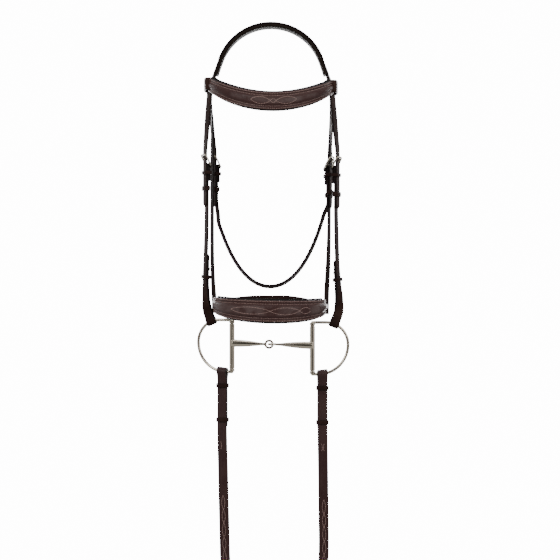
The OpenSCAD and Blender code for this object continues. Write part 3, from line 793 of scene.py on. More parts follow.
class BRIDLE_OT_materials(bpy.types.Operator):
    """Makes the leathers, threads and metals"""

    bl_idname = "bridle.materials"
    bl_label = "Leather, thread and steel"

    def execute(self, context):
        look, trim = context.scene.bridle_leather, context.scene.bridle_trim
        leather("Strap leather", look.strap)
        leather("Raised leather", look.fancy, worn_share=0.28, roughness=0.36, crease=False,
                wrinkles=0.5, gloss=0.09, painted_sheen=0.45)
        leather("Rein leather", tuple(0.8 * c for c in look.fancy), worn_share=0.2, gloss=0.12)
        leather("Loop leather", tuple(1.8 * c for c in look.strap), worn_share=0.8, crease=False)
        leather("Keeper leather", look.strap, worn_share=0.2, roughness=0.36, crease=False)
        soft_lining("Lining leather", look.lining)
        soft_lining("Pad leather", look.pad)
        thread("Pale thread", trim.thread)
        steel("Bit steel", trim.steel, trim.steel_roughness)
        # The buckle frames and studs get the steel at 0.62 of its colour: a painted dark reflection of
        # the leather round them. The tongues keep the full colour.
        steel("Buckle steel", tuple(0.62 * c for c in trim.steel), trim.steel_roughness)
        steel("Tongue steel", trim.steel, trim.steel_roughness)
        return {"FINISHED"}


class BRIDLE_OT_stage(bpy.types.Operator):
    """Sets up the camera, the soft lights and the lit wall behind"""

    bl_idname = "bridle.stage"
    bl_label = "Camera, lights and backdrop"

    def execute(self, context):
        stage = context.scene.bridle_stage
        deselect()
        bpy.ops.object.camera_add(location=(0.015, -stage.distance, -0.419),
                                  rotation=(math.pi / 2, 0, 0))
        camera = context.object
        camera.data.lens, camera.data.sensor_width = stage.lens, 36.0
        camera.data.clip_end = 50
        context.scene.camera = camera
        wall = Shader("Lit wall")
        tone = wall.mix(wall.noise(2.0) * 0.3, stage.backdrop,
                        tuple(0.99 * c for c in stage.backdrop))
        wall.set(Base_Color=tone, Roughness=0.9, Emission_Color=tone,
                 Emission_Strength=stage.wall)
        card = Shader("Dark card")
        card.set(Base_Color=(0.02, 0.019, 0.016), Roughness=0.9)
        for name, size, place, shader, seen in (
                ("backdrop", 4.2, (0, 5.6, -0.42), wall, True),
                ("dark_card", 4.5, (0, -5.2, -0.4), card, False)):
            deselect()
            bpy.ops.mesh.primitive_plane_add(size=size, location=place,
                                             rotation=(math.pi / 2, 0, 0))
            sheet = context.object
            sheet.name = name
            sheet.visible_camera = seen
            sheet.data.materials.append(shader.material)
        aim = Vector((0, 0, -0.45))
        for name, place, size, power in (
                ("key", (-1.5, -2.4, 1.0), 1.5, stage.key),
                ("fill", (1.9, -2.2, 0.4), 1.4, stage.fill),
                ("top", (0.2, 0.3, 1.7), 1.6, stage.fill),
                ("back left", (-2.2, 2.6, 0.5), 1.5, stage.back),
                ("back right", (2.2, 2.6, 0.5), 1.5, stage.back)):
            deselect()
            bpy.ops.object.light_add(type="AREA", location=place)
            lamp = context.object
            lamp.name = name
            lamp.data.shape, lamp.data.size, lamp.data.energy = "SQUARE", size, power
            lamp.rotation_euler = (aim - Vector(place)).to_track_quat("-Z", "Y").to_euler()
        world = context.scene.world or bpy.data.worlds.new("Room")
        context.scene.world = world
        world.use_nodes = True
        background = world.node_tree.nodes["Background"]
        background.inputs["Color"].default_value = (1, 1, 1, 1)
        background.inputs["Strength"].default_value = stage.room
        return {"FINISHED"}


def run_of(tops, middle, bottoms, high, low, count=6):
    """Points of one run of the hank, from high to low, drawn in at the tie."""
    points = []
    for k in range(count + 1):
        t = k / count
        flare = (2 * t - 1) ** 2
        end = tops if t < 0.5 else bottoms
        points.append(point(HANK_X, HANK_Y + middle + (end - middle) * flare,
                            high + (low - high) * t))
    return points


def turn_of(centre, radius, high, over, count=9):
    """Points of one fold of the hank, from its front side to its rear side."""
    sign = 1 if over else -1
    return [point(HANK_X, HANK_Y + centre - radius * math.cos(math.pi * k / count),
                  high + sign * radius * math.sin(math.pi * k / count))
            for k in range(1, count)]


def rein_route(side):
    """The whole of one rein: its fall from the bit, the hank, and its end at the buckle. The
    hank's runs lie 6.6 mm apart, a rein and a gap on from one another."""
    turn = BIT[side][1]
    start = rein_eye(side) + out_at(side, turn) * 1.75 + point(0, 0, -26)
    high, low = -1056.0, -1309.0
    if side == OFF:
        fall = [start, (-81, -4, -632), (-81, -4, -668), (-80.4, -4, -702), (-79.4, -4, -740),
                (-78.6, -4, -780), (-77.6, -4, -820), (-76.8, -4, -855), (-75.6, -4, -885),
                (-71, -5, -915), (-61, -8, -945), (-46, -12, -972), (-28, -17, -995),
                (-11, -22, -1014), (0, -29, -1032), (5, -33, -1052)]
        rest = run_of(-29.1, -16.5, -29.1, high - 20, low)
        rest += turn_of(-12.9, 16.2, low, False)
        rest += [point(HANK_X, HANK_Y + 3.3, low + (-1082.0 - low) * k / 5) for k in range(6)]
        rest += turn_of(12.9, 9.6, -1082.0, True)
        rest += run_of(22.5, 9.9, 12.9, -1082.0, -1298.0)
        rest += turn_of(22.8, 9.9, -1304.0, False)
        ends = [REIN_END.at(UPPER, up) for up in (19, 8, 0, -20, -40, TIP)]
    else:
        fall = [start, (85.5, -7.4, -635), (85.6, -7.4, -672), (86, -6.4, -705), (86.6, -5, -740),
                (87, -4, -780), (87.4, -4, -820), (87.8, -4, -855), (86.8, -4, -885),
                (82, -4, -915), (72, -5, -945), (57, -8, -972), (39, -12, -995),
                (23, -17, -1014), (12, -23, -1032), (7, -26.5, -1052)]
        rest = run_of(-22.5, -9.9, -22.5, high - 20, low)
        rest += turn_of(-12.9, 9.6, low, False)
        rest += [point(HANK_X, HANK_Y - 3.3, low + (high - low) * k / 5) for k in range(6)]
        rest += turn_of(12.9, 16.2, high, True)
        rest += run_of(29.1, 16.5, 29.4, high, -1262.0)
        ends = list(reversed(bar_fold(REIN_END)))[:-1]
    points = [Vector(p) for p in fall] + rest + ends
    count = len(points)
    acrosses, thick = [], []
    for i in range(count):
        angle = turn * min(1.0, max(0.0, 1 - (i - 2) / 4))
        acrosses.append(across_at(side, angle))
        thick.append(REIN_T if i < count - len(ends) else LEATHER_T)
    made = stops(points, acrosses, REIN_W, thick)
    return Route(pointed(made) if side == OFF else made, step=4.0)


class BRIDLE_OT_reins(bpy.types.Operator):
    """Makes both reins, their buckled ends and the hank of their spare length"""

    bl_idname = "bridle.reins"
    bl_label = "Reins"

    def execute(self, context):
        tie = self.tie()
        keeper = self.end_keeper()
        steelwork = [buckle("rein_buckle", REIN_END, "reins"),
                     tongue("rein_buckle_tongue", REIN_END, "reins")]
        for side, name in ((OFF, "rein_off"), (NEAR, "rein_near")):
            route = rein_route(side)
            rein = swept(name, route, strap_section)
            nodes = [name, "rein_hank"] if side == NEAR else [name]
            finished(rein, "reins", "Rein leather", nodes)
            sewing = self.fancy_stitches(side, name, route)
            route.points[0] * MM
            [p * MM for p in route.points]
            self.billet(side, name)
        return {"FINISHED"}

    def tie(self):
        middle = (HANK_TOP + HANK_BOTTOM) / 2
        path = loop_round(8.9, -18.9, 18.9, 2.0)
        place = Matrix.Translation((HANK_X, HANK_Y, middle))
        piece = swept("hank_tie", loop_route(place, path, 9, KEEPER_T), strap_section)
        return finished(piece, "reins", "Keeper leather")

    def end_keeper(self):
        piece = keeper_piece("rein_end_keeper", REIN_END, -14, -5.2, 7)
        return finished(piece, "reins", "Keeper leather")

    def fancy_stitches(self, side, name, route):
        def height(along, side):
            return REIN_T / 2 + 0.1

        begin = route.nearest(point(0, -4, -777 if side == OFF else -783)
                              + point(route.points[0].x, 0, 0))
        sizes = [(23.5, 1.0), (22, 1.0), (24, 1.0), (22, 1.0)] * 3
        places = []
        for line in lenses(begin, sizes[:11], 2.6, -0.6 if side == OFF else 0.6):
            places += sewn_line(route, line, height, 2.6)
        mark = route.nearest(point(route.points[0].x, -4, -687 if side == OFF else -690))
        for bow in ((-1, 1) if side == NEAR else (-1,)):
            line = [(mark + 13 * k / 6, bow * (1.0 + 1.4 * ((k - 3) / 3) ** 2)) for k in range(7)]
            places += sewn_line(route, line, height, 2.6)
        piece = stitched(name + "_stitching", places)
        return finished(piece, "reins", "Pale thread", [])

    def billet(self, side, name):
        turn = BIT[side][1]
        eye, out = rein_eye(side), out_at(side, turn)
        across = across_at(side, turn) * math.cos(REIN_RISE) + point(
            0, 0, side * math.sin(REIN_RISE))
        up, loop = point(0, 0, 1), 6.0
        points = [eye + out * n + up * z for n, z in ((1.75, -27), (1.75, -15), (2.9, -8.6))]
        points += [eye + out * loop * math.cos(math.radians(b)) + up * loop * math.sin(math.radians(b))
                   for b in range(-30, 211, 20)]
        points += [eye - out * n + up * z for n, z in (
            (2.9, -8.6), (1.75, -15), (1.75, -40), (1.75, -60), (1.75, -80), (1.75, -94))]
        made = pointed(stops(points, across, REIN_W, REIN_T))
        strap = swept("rein_billet_" + name[5:], Route(made, 3.0), strap_section)
        finished(strap, "reins", "Rein leather")
        place = Matrix.Translation(eye) @ Matrix.Rotation(math.radians(side * turn), 4, "Z")
        rings = [swept("ring", loop_route(place @ Matrix.Translation((0, 0, z)),
                                          loop_round(9.2, -4.9, 4.9, 1.6), 7, KEEPER_T), strap_section)
                 for z in (-23, -80)]
        finished(joined("rein_keepers_" + name[5:], rings), "reins", "Keeper leather")


def loop_round(half, front, back, corner):
    """A rounded rectangle in a strap's cross-section, in order round it."""
    path = []
    for sx, y, start in ((1, back, 0), (-1, back, 90), (-1, front, 180), (1, front, 270)):
        cx, cy = sx * (half - corner), y - corner if y == back else y + corner
        for k in range(5):
            a = math.radians(start + 22.5 * k)
            path.append((cx + corner * math.cos(a), cy + corner * math.sin(a)))
    return path


def loop_route(matrix, path, height, thickness):
    """A closed loop of leather whose width stands along the pair's own up direction."""
    up = matrix.to_3x3() @ point(0, 0, 1)
    return Route([(matrix @ point(x, y, 0), up, height, thickness) for x, y in path], 4.0, True)


def keeper_piece(name, pair, up, back, height):
    """A keeper or runner round a pair of straps, up from the bar, against the strap at back."""
    half = pair.width / 2 + 0.4 + KEEPER_T / 2
    path = loop_round(half, -KEEPER_FRONT - 1.05, -back + 1.05, 1.5)
    return swept(name, loop_route(pair.matrix @ Matrix.Translation((0, 0, up)), path, height,
                                  KEEPER_T), strap_section)


def buckle(name, pair, body):
    """A bent-wire buckle frame with rounded corners, leaning from its bar to its top."""
    half = pair.width / 2 + 3
    rise = math.hypot(TOP_BAR - BAR, FRAME_H)
    tilt = ((TOP_BAR - BAR) / rise, FRAME_H / rise)
    corner = 2.6
    flat = []
    for sx, w, start in ((1, rise, 0), (-1, rise, 90), (-1, 0, 180), (1, 0, 270)):
        cx = sx * (half - corner)
        cw = w - corner if w else corner
        for k in range(5):
            a = math.radians(start + 22.5 * k)
            flat.append((cx + corner * math.cos(a), cw + corner * math.sin(a)))
    across = pair.way(tilt[1], -tilt[0])
    ring = [(pair.at(BAR + tilt[0] * w, tilt[1] * w, x), across, 2.8, 3.0) for x, w in flat]
    piece = swept(name, Route(ring, 3.0, True), round_section())
    return finished(piece, body, "Buckle steel")


def tongue(name, pair, body):
    """A buckle's tongue: an eye round the bar and a tapered pin that rests on the top bar."""
    lean = math.atan2(TOP_BAR - BAR, FRAME_H) + math.asin(2.8 / math.hypot(TOP_BAR - BAR, FRAME_H))
    eye = [(pair.at(BAR + 2.1 * math.cos(a), 2.1 * math.sin(a)), pair.way(0, 0, 1), 3.0, 1.1)
           for a in (2 * math.pi * k / 16 for k in range(16))]
    ring = swept("eye", Route(eye, 2.0, True), strap_section)
    way = (math.sin(lean), math.cos(lean))
    shape = [(2.0, 1.5, 1.3), (4, 2.1, 1.7), (9, 2.2, 1.9), (16, 2.1, 1.8), (19.6, 1.8, 1.5),
             (20.8, 1.2, 1.0), (21.2, 0.4, 0.4)]
    pin = [(pair.at(BAR + way[0] * r, way[1] * r), pair.way(0, 0, 1), w, t) for r, w, t in shape]
    rod = swept("pin", Route(pin, 2.0), round_section(12))
    piece = joined(name, [ring, rod])
    return finished(piece, body, "Tongue steel")


# The crownpiece is an arch about ARCH_Z, and the headstrap and the pad lie under it.
CROWN_R = 93
CROWN_T = 3
CROWN_MID = 91.5
ARCH_Z = -85.0
PAD_GAP = 0.1
PAD_DEPTH = 2.5


def arch(radius, y, degrees):
    a = math.radians(degrees)
    return point(radius * math.sin(a), y, ARCH_Z + radius * math.cos(a))


def split_stops(pair, y):
    """Stops of one of the crown's split straps, from the arch to its pointed tip."""
    s = pair.side
    foot = pair.at(UPPER, 22)
    knee = point(s * 102.6, y, -118)
    first = arch(CROWN_MID, 0, 68)
    points = [point(s * first.x, y, first.z), point(s * 86.5, y, -55.2), point(s * 95, y, -80),
              point(s * 99.6, y, -94), point(s * 102, y, -106), knee, knee.lerp(foot, 0.33),
              knee.lerp(foot, 0.67), foot, pair.at(UPPER, 8), pair.at(UPPER, 0),
              pair.at(UPPER, -20), pair.at(UPPER, -45), pair.at(UPPER, TIP)]
    turns = [90, 86, 80, 74, 68, 60, 58, 61] + [pair.turn] * 6
    return pointed(stops(points, [across_at(s, t) for t in turns],
                         float(pair.width), LEATHER_T))


class BRIDLE_OT_crownpiece(bpy.types.Operator):
    """Makes the crownpiece with its four split straps, and the pad under it"""

    bl_idname = "bridle.crownpiece"
    bl_label = "Crownpiece"

    def execute(self, context):
        over = [arch(CROWN_MID, 0, -70 + 140 * i / 18) for i in range(19)]
        shells = [swept("arch", Route(stops(over, point(0, 1, 0), 38.0, 3.0), 3.0), strap_section)]
        for side in (OFF, NEAR):
            for pair, y in ((CHEEK[side], -11), (THROAT[side], 13)):
                shells.append(swept("split", Route(split_stops(pair, y)), strap_section))
        finished(joined("crownpiece", shells), "headstall", "Strap leather")
        r = CROWN_R - CROWN_T - PAD_GAP - PAD_DEPTH
        foot = [point(s * (r * math.sin(math.radians(71)) + 7.6), 0,
                      ARCH_Z + r * math.cos(math.radians(71)) - 22) for s in (-1, 1)]
        path = [foot[0]] + [arch(r, 0, -71 + 142 * i / 18) for i in range(19)] + [foot[1]]
        pad = swept("crown_padding", Route(stops(path, point(0, 1, 0), 40.0, 4.8), 3.0),
                    self.pad_section, smooth=60)
        finished(pad, "headstall", "Pad leather")
        return {"FINISHED"}

    @staticmethod
    def pad_section(width, thickness):
        """The pad's ring, with a channel for the noseband's headstrap in its outer face."""
        half = [(20, 0.4), (19.6, 1.5), (18.6, 2.2), (8.2, 2.4), (7.3, 2.2), (7, 1.6), (7, -0.1)]
        under = [(-20, -0.8), (-19.4, -1.9), (-17, -2.6), (-11, -3.1), (0, -3.3), (11, -3.1),
                 (17, -2.6), (19.4, -1.9), (20, -0.8)]
        ring = half + [(-x, y) for x, y in reversed(half)] + under
        return [(x, y, 20 - abs(x)) for x, y in ring]


class BRIDLE_OT_headstrap(bpy.types.Operator):
    """Makes the noseband's headstrap and its near hanger"""

    bl_idname = "bridle.headstrap"
    bl_label = "Noseband headstrap"

    def execute(self, context):
        r = CROWN_R - CROWN_T - 0.2 - 0.9
        over = [arch(r, 0, -71 + 142 * i / 18) for i in range(19)]
        foot = HANGER.at(UPPER, 22)
        down = [(-93.6, 2, -474), (-94.4, 2, -452), (-96.2, 3, -425), (-97.6, 5, -390),
                (-98, 7, -350), (-98, 8, -300), (-98, 8, -240), (-98, 7, -190), (-98.4, 3, -140),
                (-98.6, 0, -118), (-97.6, 0, -104), (-94.4, 0, -88), (-90.4, 0, -76)]
        knee = point(98.2, 0, -118)
        near = [point(90.4, 0, -76), point(94.4, 0, -88), point(97.6, 0, -104), knee,
                knee.lerp(foot, 0.5), foot, HANGER.at(UPPER, 0), HANGER.at(UPPER, -30),
                HANGER.at(UPPER, TIP)]
        acrosses = ([across_at(OFF, a) for a in (46, 52, 58, 62, 64, 64, 64, 68, 80, 90, 90, 90, 90)]
                    + [point(0, -1, 0)] * 19
                    + [-across_at(NEAR, a) for a in (90, 90, 90, 90, 78, 68, 68, 68, 68)])
        made = stops([Vector(p) for p in down] + over + near, acrosses, NOSE_STRAP_W, 1.8)
        strap = swept("noseband_headstrap", Route(pointed(made)), strap_section)
        finished(strap, "headstall", "Strap leather")
        points = bar_fold(HANGER) + [HANGER.at(LOWER, -6), HANGER.at(LOWER, -50),
                                     HANGER.at(LOWER, -100), point(96.2, 11, -365),
                                     point(94.6, 7, -405), point(92.6, 3, -440),
                                     point(92.1, 2, -476)]
        turns = [68] * (len(points) - 4) + [64, 58, 54, 54]
        made = stops(points, [across_at(NEAR, a) for a in turns], NOSE_STRAP_W, LEATHER_T)
        strap = swept("near_hanger", Route(made), strap_section)
        finished(strap, "headstall", "Strap leather")
        return {"FINISHED"}


CHEEK_BENDS = {
    OFF: ([(-107.2, -8.3, -350), (-108.6, -7, -390), (-109.4, -4.5, -425), (-108.6, -1, -450)],
          [67, 66, 63, 52]),
    NEAR: ([(108.8, -8.5, -350), (110.4, -8, -398), (112.4, -7, -428), (114.0, -6, -454)],
           [67, 66, 60, 44])}


class BRIDLE_OT_cheekpieces(bpy.types.Operator):
    """Makes both cheekpieces with their hook billets, keepers and studs"""

    bl_idname = "bridle.cheekpieces"
    bl_label = "Cheekpieces"

    def execute(self, context):
        studs = []
        for side, name in ((OFF, "off"), (NEAR, "near")):
            route = self.route(side)
            strap = swept("cheekpiece_" + name, route, strap_section)
            finished(strap, "headstall", "Strap leather")
            bends, turns = CHEEK_BENDS[side]
            a, b = Vector(bends[1]), Vector(bends[2])
            studs += self.stud(a.lerp(b, 0.3), out_at(side, turns[1] * 0.7 + turns[2] * 0.3))
            turn = turns[1] * 0.32 + turns[2] * 0.68
            lean = (a - b).normalized()
            across = across_at(side, turn)
            across = (across - lean * across.dot(lean)).normalized()
            place = Matrix((across, lean.cross(across), lean)).transposed().to_4x4()
            place.translation = a.lerp(b, 0.68)
            ring = loop_route(place, loop_round(9.5, -2.8, 5.7, 1.5), 6, KEEPER_T)
            piece = swept("hook_keeper_" + name, ring, strap_section)
            finished(piece, "headstall", "Keeper leather")
        finished(joined("cheek_studs", studs), "headstall", "Buckle steel")
        return {"FINISHED"}

    def stud(self, place, out):
        """A hook stud: a neck through the leather and a round cap behind it."""
        side = point(0, 0, 1)
        start = place - out * 1.4
        shape = [(0, 3.0), (4.0, 3.0), (4.2, 5.2), (4.6, 6.0), (5.6, 6.0), (6.2, 5.0), (6.4, 2.0)]
        route = Route([(start - out * d, side, w, w) for d, w in shape], 2.0)
        return [swept("stud", route, round_section(18))]

    def route(self, side):
        pair = CHEEK[side]
        turn = BIT[side][1]
        eye = cheek_eye(side)
        a = math.radians(turn)
        # u runs along the ring's wire where the loop hangs, n to the strap's face, v upwards
        u = point(math.cos(a) * math.cos(LOOP_FALL), side * math.sin(a) * math.cos(LOOP_FALL),
                  -side * math.sin(LOOP_FALL))
        n = out_at(side, turn)
        v = n.cross(u)
        v = v if v.z > 0 else -v
        bends, turns = CHEEK_BENDS[side]
        bends = [Vector(p) for p in bends]
        main = [pair.at(LOWER, -6), pair.at(LOWER, -40), pair.at(LOWER, -72)] + bends
        main_turns = [pair.turn] * 3 + turns
        loop_r = 5.0
        down = [eye + n * q + v * z for q, z in ((1.45, 17), (2.2, 10.5))]
        loop = [eye + n * loop_r * math.cos(math.radians(b)) + v * loop_r * math.sin(math.radians(b))
                for b in range(35, -216, -25)]
        up = [eye - n * q + v * z for q, z in ((2.2, 10.5), (1.45, 17))]
        # The folded-back end lies a strap and a little glue behind the front one.
        behind = LEATHER_T + 0.3
        back = [main[i] - out_at(side, main_turns[i]) * behind for i in (6, 5, 4)]
        share = 0.35 if side == OFF else 0.25
        tip = [main[4].lerp(main[3], k) - out_at(side, main_turns[4]) * behind
               for k in (0.1, share)]
        fold = bar_fold(pair)
        points = fold + main + down + loop + up + back + tip
        acrosses = ([across_at(side, pair.turn)] * len(fold)
                    + [across_at(side, t) for t in main_turns]
                    + [u] * (len(down) + len(loop) + len(up))
                    + [across_at(side, main_turns[i]) for i in (6, 5, 4)]
                    + [across_at(side, main_turns[4])] * 2)
        return Route(pointed(stops(points, acrosses, 16.0, LEATHER_T), 5.0))


class BRIDLE_OT_throatlatch(bpy.types.Operator):
    """Makes the throatlatch, one strap from buckle to buckle that hangs in a curve below its keepers
    """

    bl_idname = "bridle.throatlatch"
    bl_label = "Throatlatch"

    def execute(self, context):
        off, near = THROAT[OFF], THROAT[NEAR]
        low, curve, middle = -430.0, 46.0, -1.5
        reach, tilt, thick_leather = (81, 87.8), math.radians(19), 3.7
        a, b = off.at(LOWER, -81) + point(3, 0, 0), near.at(LOWER, -81) - point(8.8, 0, 0)
        fold, other = bar_fold(off), list(reversed(bar_fold(near)))
        top = [off.at(LOWER, -6), off.at(LOWER, -40), off.at(LOWER, -56), a, a + point(1, 0, -12)]
        end = [b, near.at(LOWER, -76) - point(7.2, 0, 0), near.at(LOWER, -58),
               near.at(LOWER, -40), near.at(LOWER, -6)]
        hang, turns = [], []
        for i in range(31):
            s = math.sin(math.radians(-90 + 6 * i))
            u = s * (reach[0] if s < 0 else reach[1]) / curve
            hang.append(point(middle + u * curve, a.y + (b.y - a.y) * i / 30,
                              low + curve * (math.cosh(u) - 1)))
            turns.append(point(-math.sin(tilt) * math.tanh(u), -math.cos(tilt),
                               math.sin(tilt) / math.cosh(u)))
        points = fold + top + hang + end + other
        acrosses = ([across_at(OFF, 60)] * (len(fold) + 4) + [across_at(OFF, 68)] + turns
                    + [-across_at(NEAR, 60)] * (len(end) + len(other)))
        thick = [LEATHER_T] * (len(fold) + 4) + [thick_leather] * (len(hang) + 1)
        thick += [LEATHER_T] * (len(end) + len(other))
        route = Route(stops(points, acrosses, 12.0, thick))
        strap = swept("throatlatch", route, strap_section)
        strap.name = strap.data.name = "throatlatch_finished"
        strap.data.materials.append(material("Strap leather"))
        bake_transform(strap)
        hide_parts("throatlatch", "throatlatch_off_end", "throatlatch_near_end")
        return {"FINISHED"}


BROW_Z, BROW_HALF, BROW_BULGE, BROW_DROP, BROW_FRONT = -99.0, 102.0, 85.0, 33.0, -25.0


def brow_point(degrees, out=0.0):
    a = math.radians(degrees)
    return point((BROW_HALF + out) * math.sin(a), BROW_FRONT - (BROW_BULGE + out) * math.cos(a),
                 BROW_Z - 0.02 * BROW_HALF * math.sin(a)
                 - BROW_DROP * max(math.cos(a), 0) ** 1.7)


def brow_width(degrees):
    return 21 + 8 * max(math.cos(math.radians(degrees)), 0) ** 1.3


class BRIDLE_OT_browband(bpy.types.Operator):
    """Makes the raised browband, its stitching, its lining and its two end loops"""

    bl_idname = "bridle.browband"
    bl_label = "Browband"

    def execute(self, context):
        angles = [-90 + 5 * i for i in range(37)]
        section = raised(6.0, 2.2)
        route = Route(stops([brow_point(a) for a in angles], point(0, 0, 1),
                            [brow_width(a) for a in angles], 3.4), 3.0)
        band = swept("browband", route, section)
        finished(band, "browband", "Raised leather")
        inner = [a for a in angles if abs(a) <= 78]
        lined("browband", [brow_point(a, -3.9) for a in inner],
              [brow_width(a) + 3.6 for a in inner], 4.6)
        sewn_band("browband", route, section, 1.7, 6.0, 8,
                  (route.nearest(brow_point(0)) - 31.5, [(31, 1.0), (9, 0.5), (33, 1.0)]))
        for side, name in ((OFF, "off"), (NEAR, "near")):
            self.loop(side, name)
        return {"FINISHED"}

    def loop(self, side, name):
        """A flat loop of leather at the browband's end, with rounded corners."""
        inner, outer, back, front = 90.6, 106.8, 23.2, -46.0
        x = [side * inner, side * outer]
        low, high = min(x), max(x)
        place = Matrix.Translation(((low + high) / 2, 0, BROW_Z - side * 0.02 * BROW_HALF))
        ring = loop_round((high - low) / 2, front, back, 4.0)
        route = loop_route(place, ring, 20, 2.4)
        piece = swept("browband_loop_" + name, route, strap_section)
        finished(piece, "browband", "Loop leather")


def side_z(side):
    return NOSE_Z - side * 1.8


def nose_point(degrees, out=0.0):
    a = math.radians(degrees)
    return point(NOSE_X + (NOSE_HALF + out) * math.sin(a), -(NOSE_FRONT + out) * math.cos(a),
                 NOSE_Z - 1.8 * math.sin(a) - 9.5 * math.cos(a))


def nose_width(degrees):
    return 22 + 14 * max(math.cos(math.radians(degrees)), 0) ** 0.8


class BRIDLE_OT_noseband(bpy.types.Operator):
    """Makes the raised noseband, its stitching and lining, and the strap under the jaw"""

    bl_idname = "bridle.noseband"
    bl_label = "Noseband"

    def execute(self, context):
        angles = [-90 + 5 * i for i in range(37)]
        section = raised(6.5, 2.6)
        route = Route(stops([nose_point(a, 2.0) for a in angles], point(0, 0, 1),
                            [nose_width(a) for a in angles], 3.6), 3.0)
        shells = [swept("front", route, section)]
        up = point(0, 0, 1)
        tab = [nose_point(86, -0.2), nose_point(90)]
        tab += [CHIN.at(LOWER, z) for z in (-50, -40, -20, -6)]
        tab += list(reversed(bar_fold(CHIN)))[:-2]
        shells.append(swept("tab", Route(stops(tab, up, NOSE_STRAP_W, LEATHER_T)), strap_section))
        off = [(NOSE_X - NOSE_HALF + 5.4, 22, side_z(OFF)), (NOSE_X - NOSE_HALF + 2, 10, side_z(OFF))]
        off = [Vector(p) for p in off] + [nose_point(-90), nose_point(-86, -0.2)]
        shells.append(swept("off tab", Route(stops(off, up, 15.0, LEATHER_T)), strap_section))
        finished(joined("noseband", shells), "noseband", "Raised leather")
        inner = [a for a in angles if abs(a) <= 85]
        lined("noseband", [nose_point(a, -4.4) for a in inner],
              [nose_width(a) + 4.4 for a in inner], 5.4)
        sewn_band("noseband", route, section, 1.8, 6.5, 5,
                  (route.nearest(nose_point(0)) - 65, [(66, 1.0), (48, 1.0), (22, 0.9)]))
        self.chin_strap()
        return {"FINISHED"}

    def chin_strap(self):
        rear_z = NOSE_Z + 8
        rear = [(64, 86, NOSE_Z + 2), (50, 92, NOSE_Z + 5), (26, 96, rear_z), (NOSE_X, 97, rear_z),
                (-30, 96, rear_z), (-54, 91, NOSE_Z + 6), (-70, 79, NOSE_Z + 4),
                (-77.5, 60, side_z(OFF) + 1), (-82, 42, side_z(OFF)),
                (NOSE_X - NOSE_HALF + 5.6, 22.6, side_z(OFF))]
        points = [Vector(p) for p in reversed(rear)] + [CHIN.at(UPPER, z) for z in (22, 0, -38, -44)]
        made = stops(points, point(0, 0, -1), NOSE_STRAP_W, LEATHER_T)
        piece = swept("chin_strap", Route(pointed(made)), strap_section)
        finished(piece, "noseband", "Strap leather")


class BRIDLE_OT_buckles(bpy.types.Operator):
    """Makes the headstall's and chin strap's buckles, tongues, keepers and runners"""

    bl_idname = "bridle.buckles"
    bl_label = "Buckles and keepers"

    def execute(self, context):
        sets = [(CHEEK[OFF], "cheek_{}_off", "headstall"), (CHEEK[NEAR], "cheek_{}_near", "headstall"),
                (THROAT[OFF], "throat_{}_off", "headstall"),
                (THROAT[NEAR], "throat_{}_near", "headstall"),
                (HANGER, "hanger_{}", "headstall"), (CHIN, "chin_{}", "noseband")]
        for pair, names, body in sets:
            buckle(names.format("buckle"), pair, body)
            tongue(names.format("tongue"), pair, names.format("tongue"))
            fixed = keeper_piece(names.format("keeper"), pair, -12, TAIL - LEATHER_T / 2, 6)
            finished(fixed, body, "Keeper leather")
            sliding = keeper_piece(names.format("runner"), pair, pair.runner,
                                   LOWER - LEATHER_T / 2, 6 if pair is CHIN else 8)
            finished(sliding, names.format("runner"), "Keeper leather")
        return {"FINISHED"}


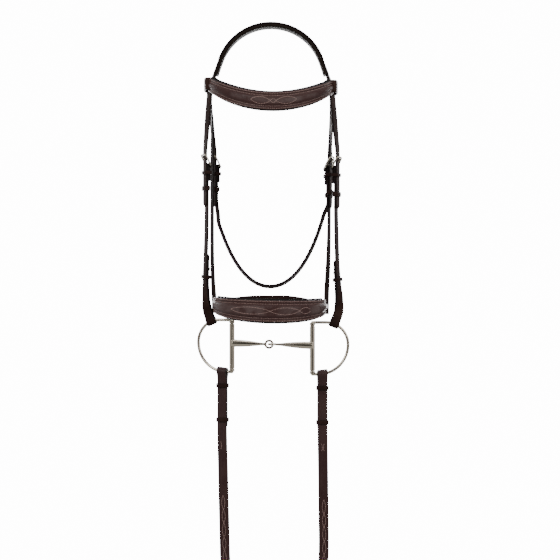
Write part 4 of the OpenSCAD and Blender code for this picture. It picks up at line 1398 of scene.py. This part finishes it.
class BRIDLE_OT_bit(bpy.types.Operator):
    """Makes the bit from the part's own shapes, fused and smoothed as cast steel"""

    bl_idname = "bridle.bit"
    bl_label = "Bit"

    def execute(self, context):
        for name in ("dee_off", "dee_near", "mouthpiece_off", "mouthpiece_near"):
            piece = self.cast(name)
            finished(piece, name, "Bit steel")
        studs = frame["nodes"]["rein_studs"]
        studs.data.materials.clear()
        studs.data.materials.append(material("Buckle steel"))
        return {"FINISHED"}

    def cast(self, name):
        source = frame["nodes"][name]
        piece = source.copy()
        piece.data = source.data.copy()
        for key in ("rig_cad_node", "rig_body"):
            del piece[key]
        piece.parent = None
        bpy.context.scene.collection.objects.link(piece)
        pick(piece)
        with all_selected():
            bpy.ops.mesh.remove_doubles(threshold=SAME_PLACE)
        bpy.ops.object.modifier_add(type="REMESH")
        fuse = piece.modifiers[-1]
        fuse.mode, fuse.voxel_size, fuse.use_smooth_shade = "VOXEL", 0.00055, True
        bpy.ops.object.modifier_apply(modifier=fuse.name)
        bpy.ops.object.modifier_add(type="SMOOTH")
        soften = piece.modifiers[-1]
        soften.factor, soften.iterations = 0.5, 2
        bpy.ops.object.modifier_apply(modifier=soften.name)
        return piece


class BRIDLE_PT_panel(bpy.types.Panel):
    """Lists the bridle's pieces in the order they are made"""

    bl_label = "Bridle"
    bl_idname = "BRIDLE_PT_panel"
    bl_space_type = "VIEW_3D"
    bl_region_type = "UI"
    bl_category = "Bridle"

    def draw(self, context):
        for group in (context.scene.bridle_leather, context.scene.bridle_trim,
                      context.scene.bridle_stage):
            box = self.layout.box()
            for key in group.__annotations__:
                box.prop(group, key)
        for operator in OPERATORS:
            self.layout.operator(operator.bl_idname)


GROUPS = (BridleLeather, BridleTrim, BridleStage)
OPERATORS = (BRIDLE_OT_materials, BRIDLE_OT_stage, BRIDLE_OT_reins, BRIDLE_OT_crownpiece,
             BRIDLE_OT_headstrap, BRIDLE_OT_cheekpieces, BRIDLE_OT_throatlatch,
             BRIDLE_OT_browband, BRIDLE_OT_noseband, BRIDLE_OT_buckles, BRIDLE_OT_bit)


def register():
    for kind in (*GROUPS, *OPERATORS, BRIDLE_PT_panel):
        bpy.utils.register_class(kind)
    bpy.types.Scene.bridle_leather = PointerProperty(type=BridleLeather)
    bpy.types.Scene.bridle_trim = PointerProperty(type=BridleTrim)
    bpy.types.Scene.bridle_stage = PointerProperty(type=BridleStage)


def unregister():
    del bpy.types.Scene.bridle_stage
    del bpy.types.Scene.bridle_trim
    del bpy.types.Scene.bridle_leather
    for kind in reversed((*GROUPS, *OPERATORS, BRIDLE_PT_panel)):
        bpy.utils.unregister_class(kind)


def main():
    register()
    for operator in OPERATORS:
        group, name = operator.bl_idname.split(".")
        getattr(getattr(bpy.ops, group), name)()
    deselect()
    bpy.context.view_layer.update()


if __name__ == "__main__":
    main()
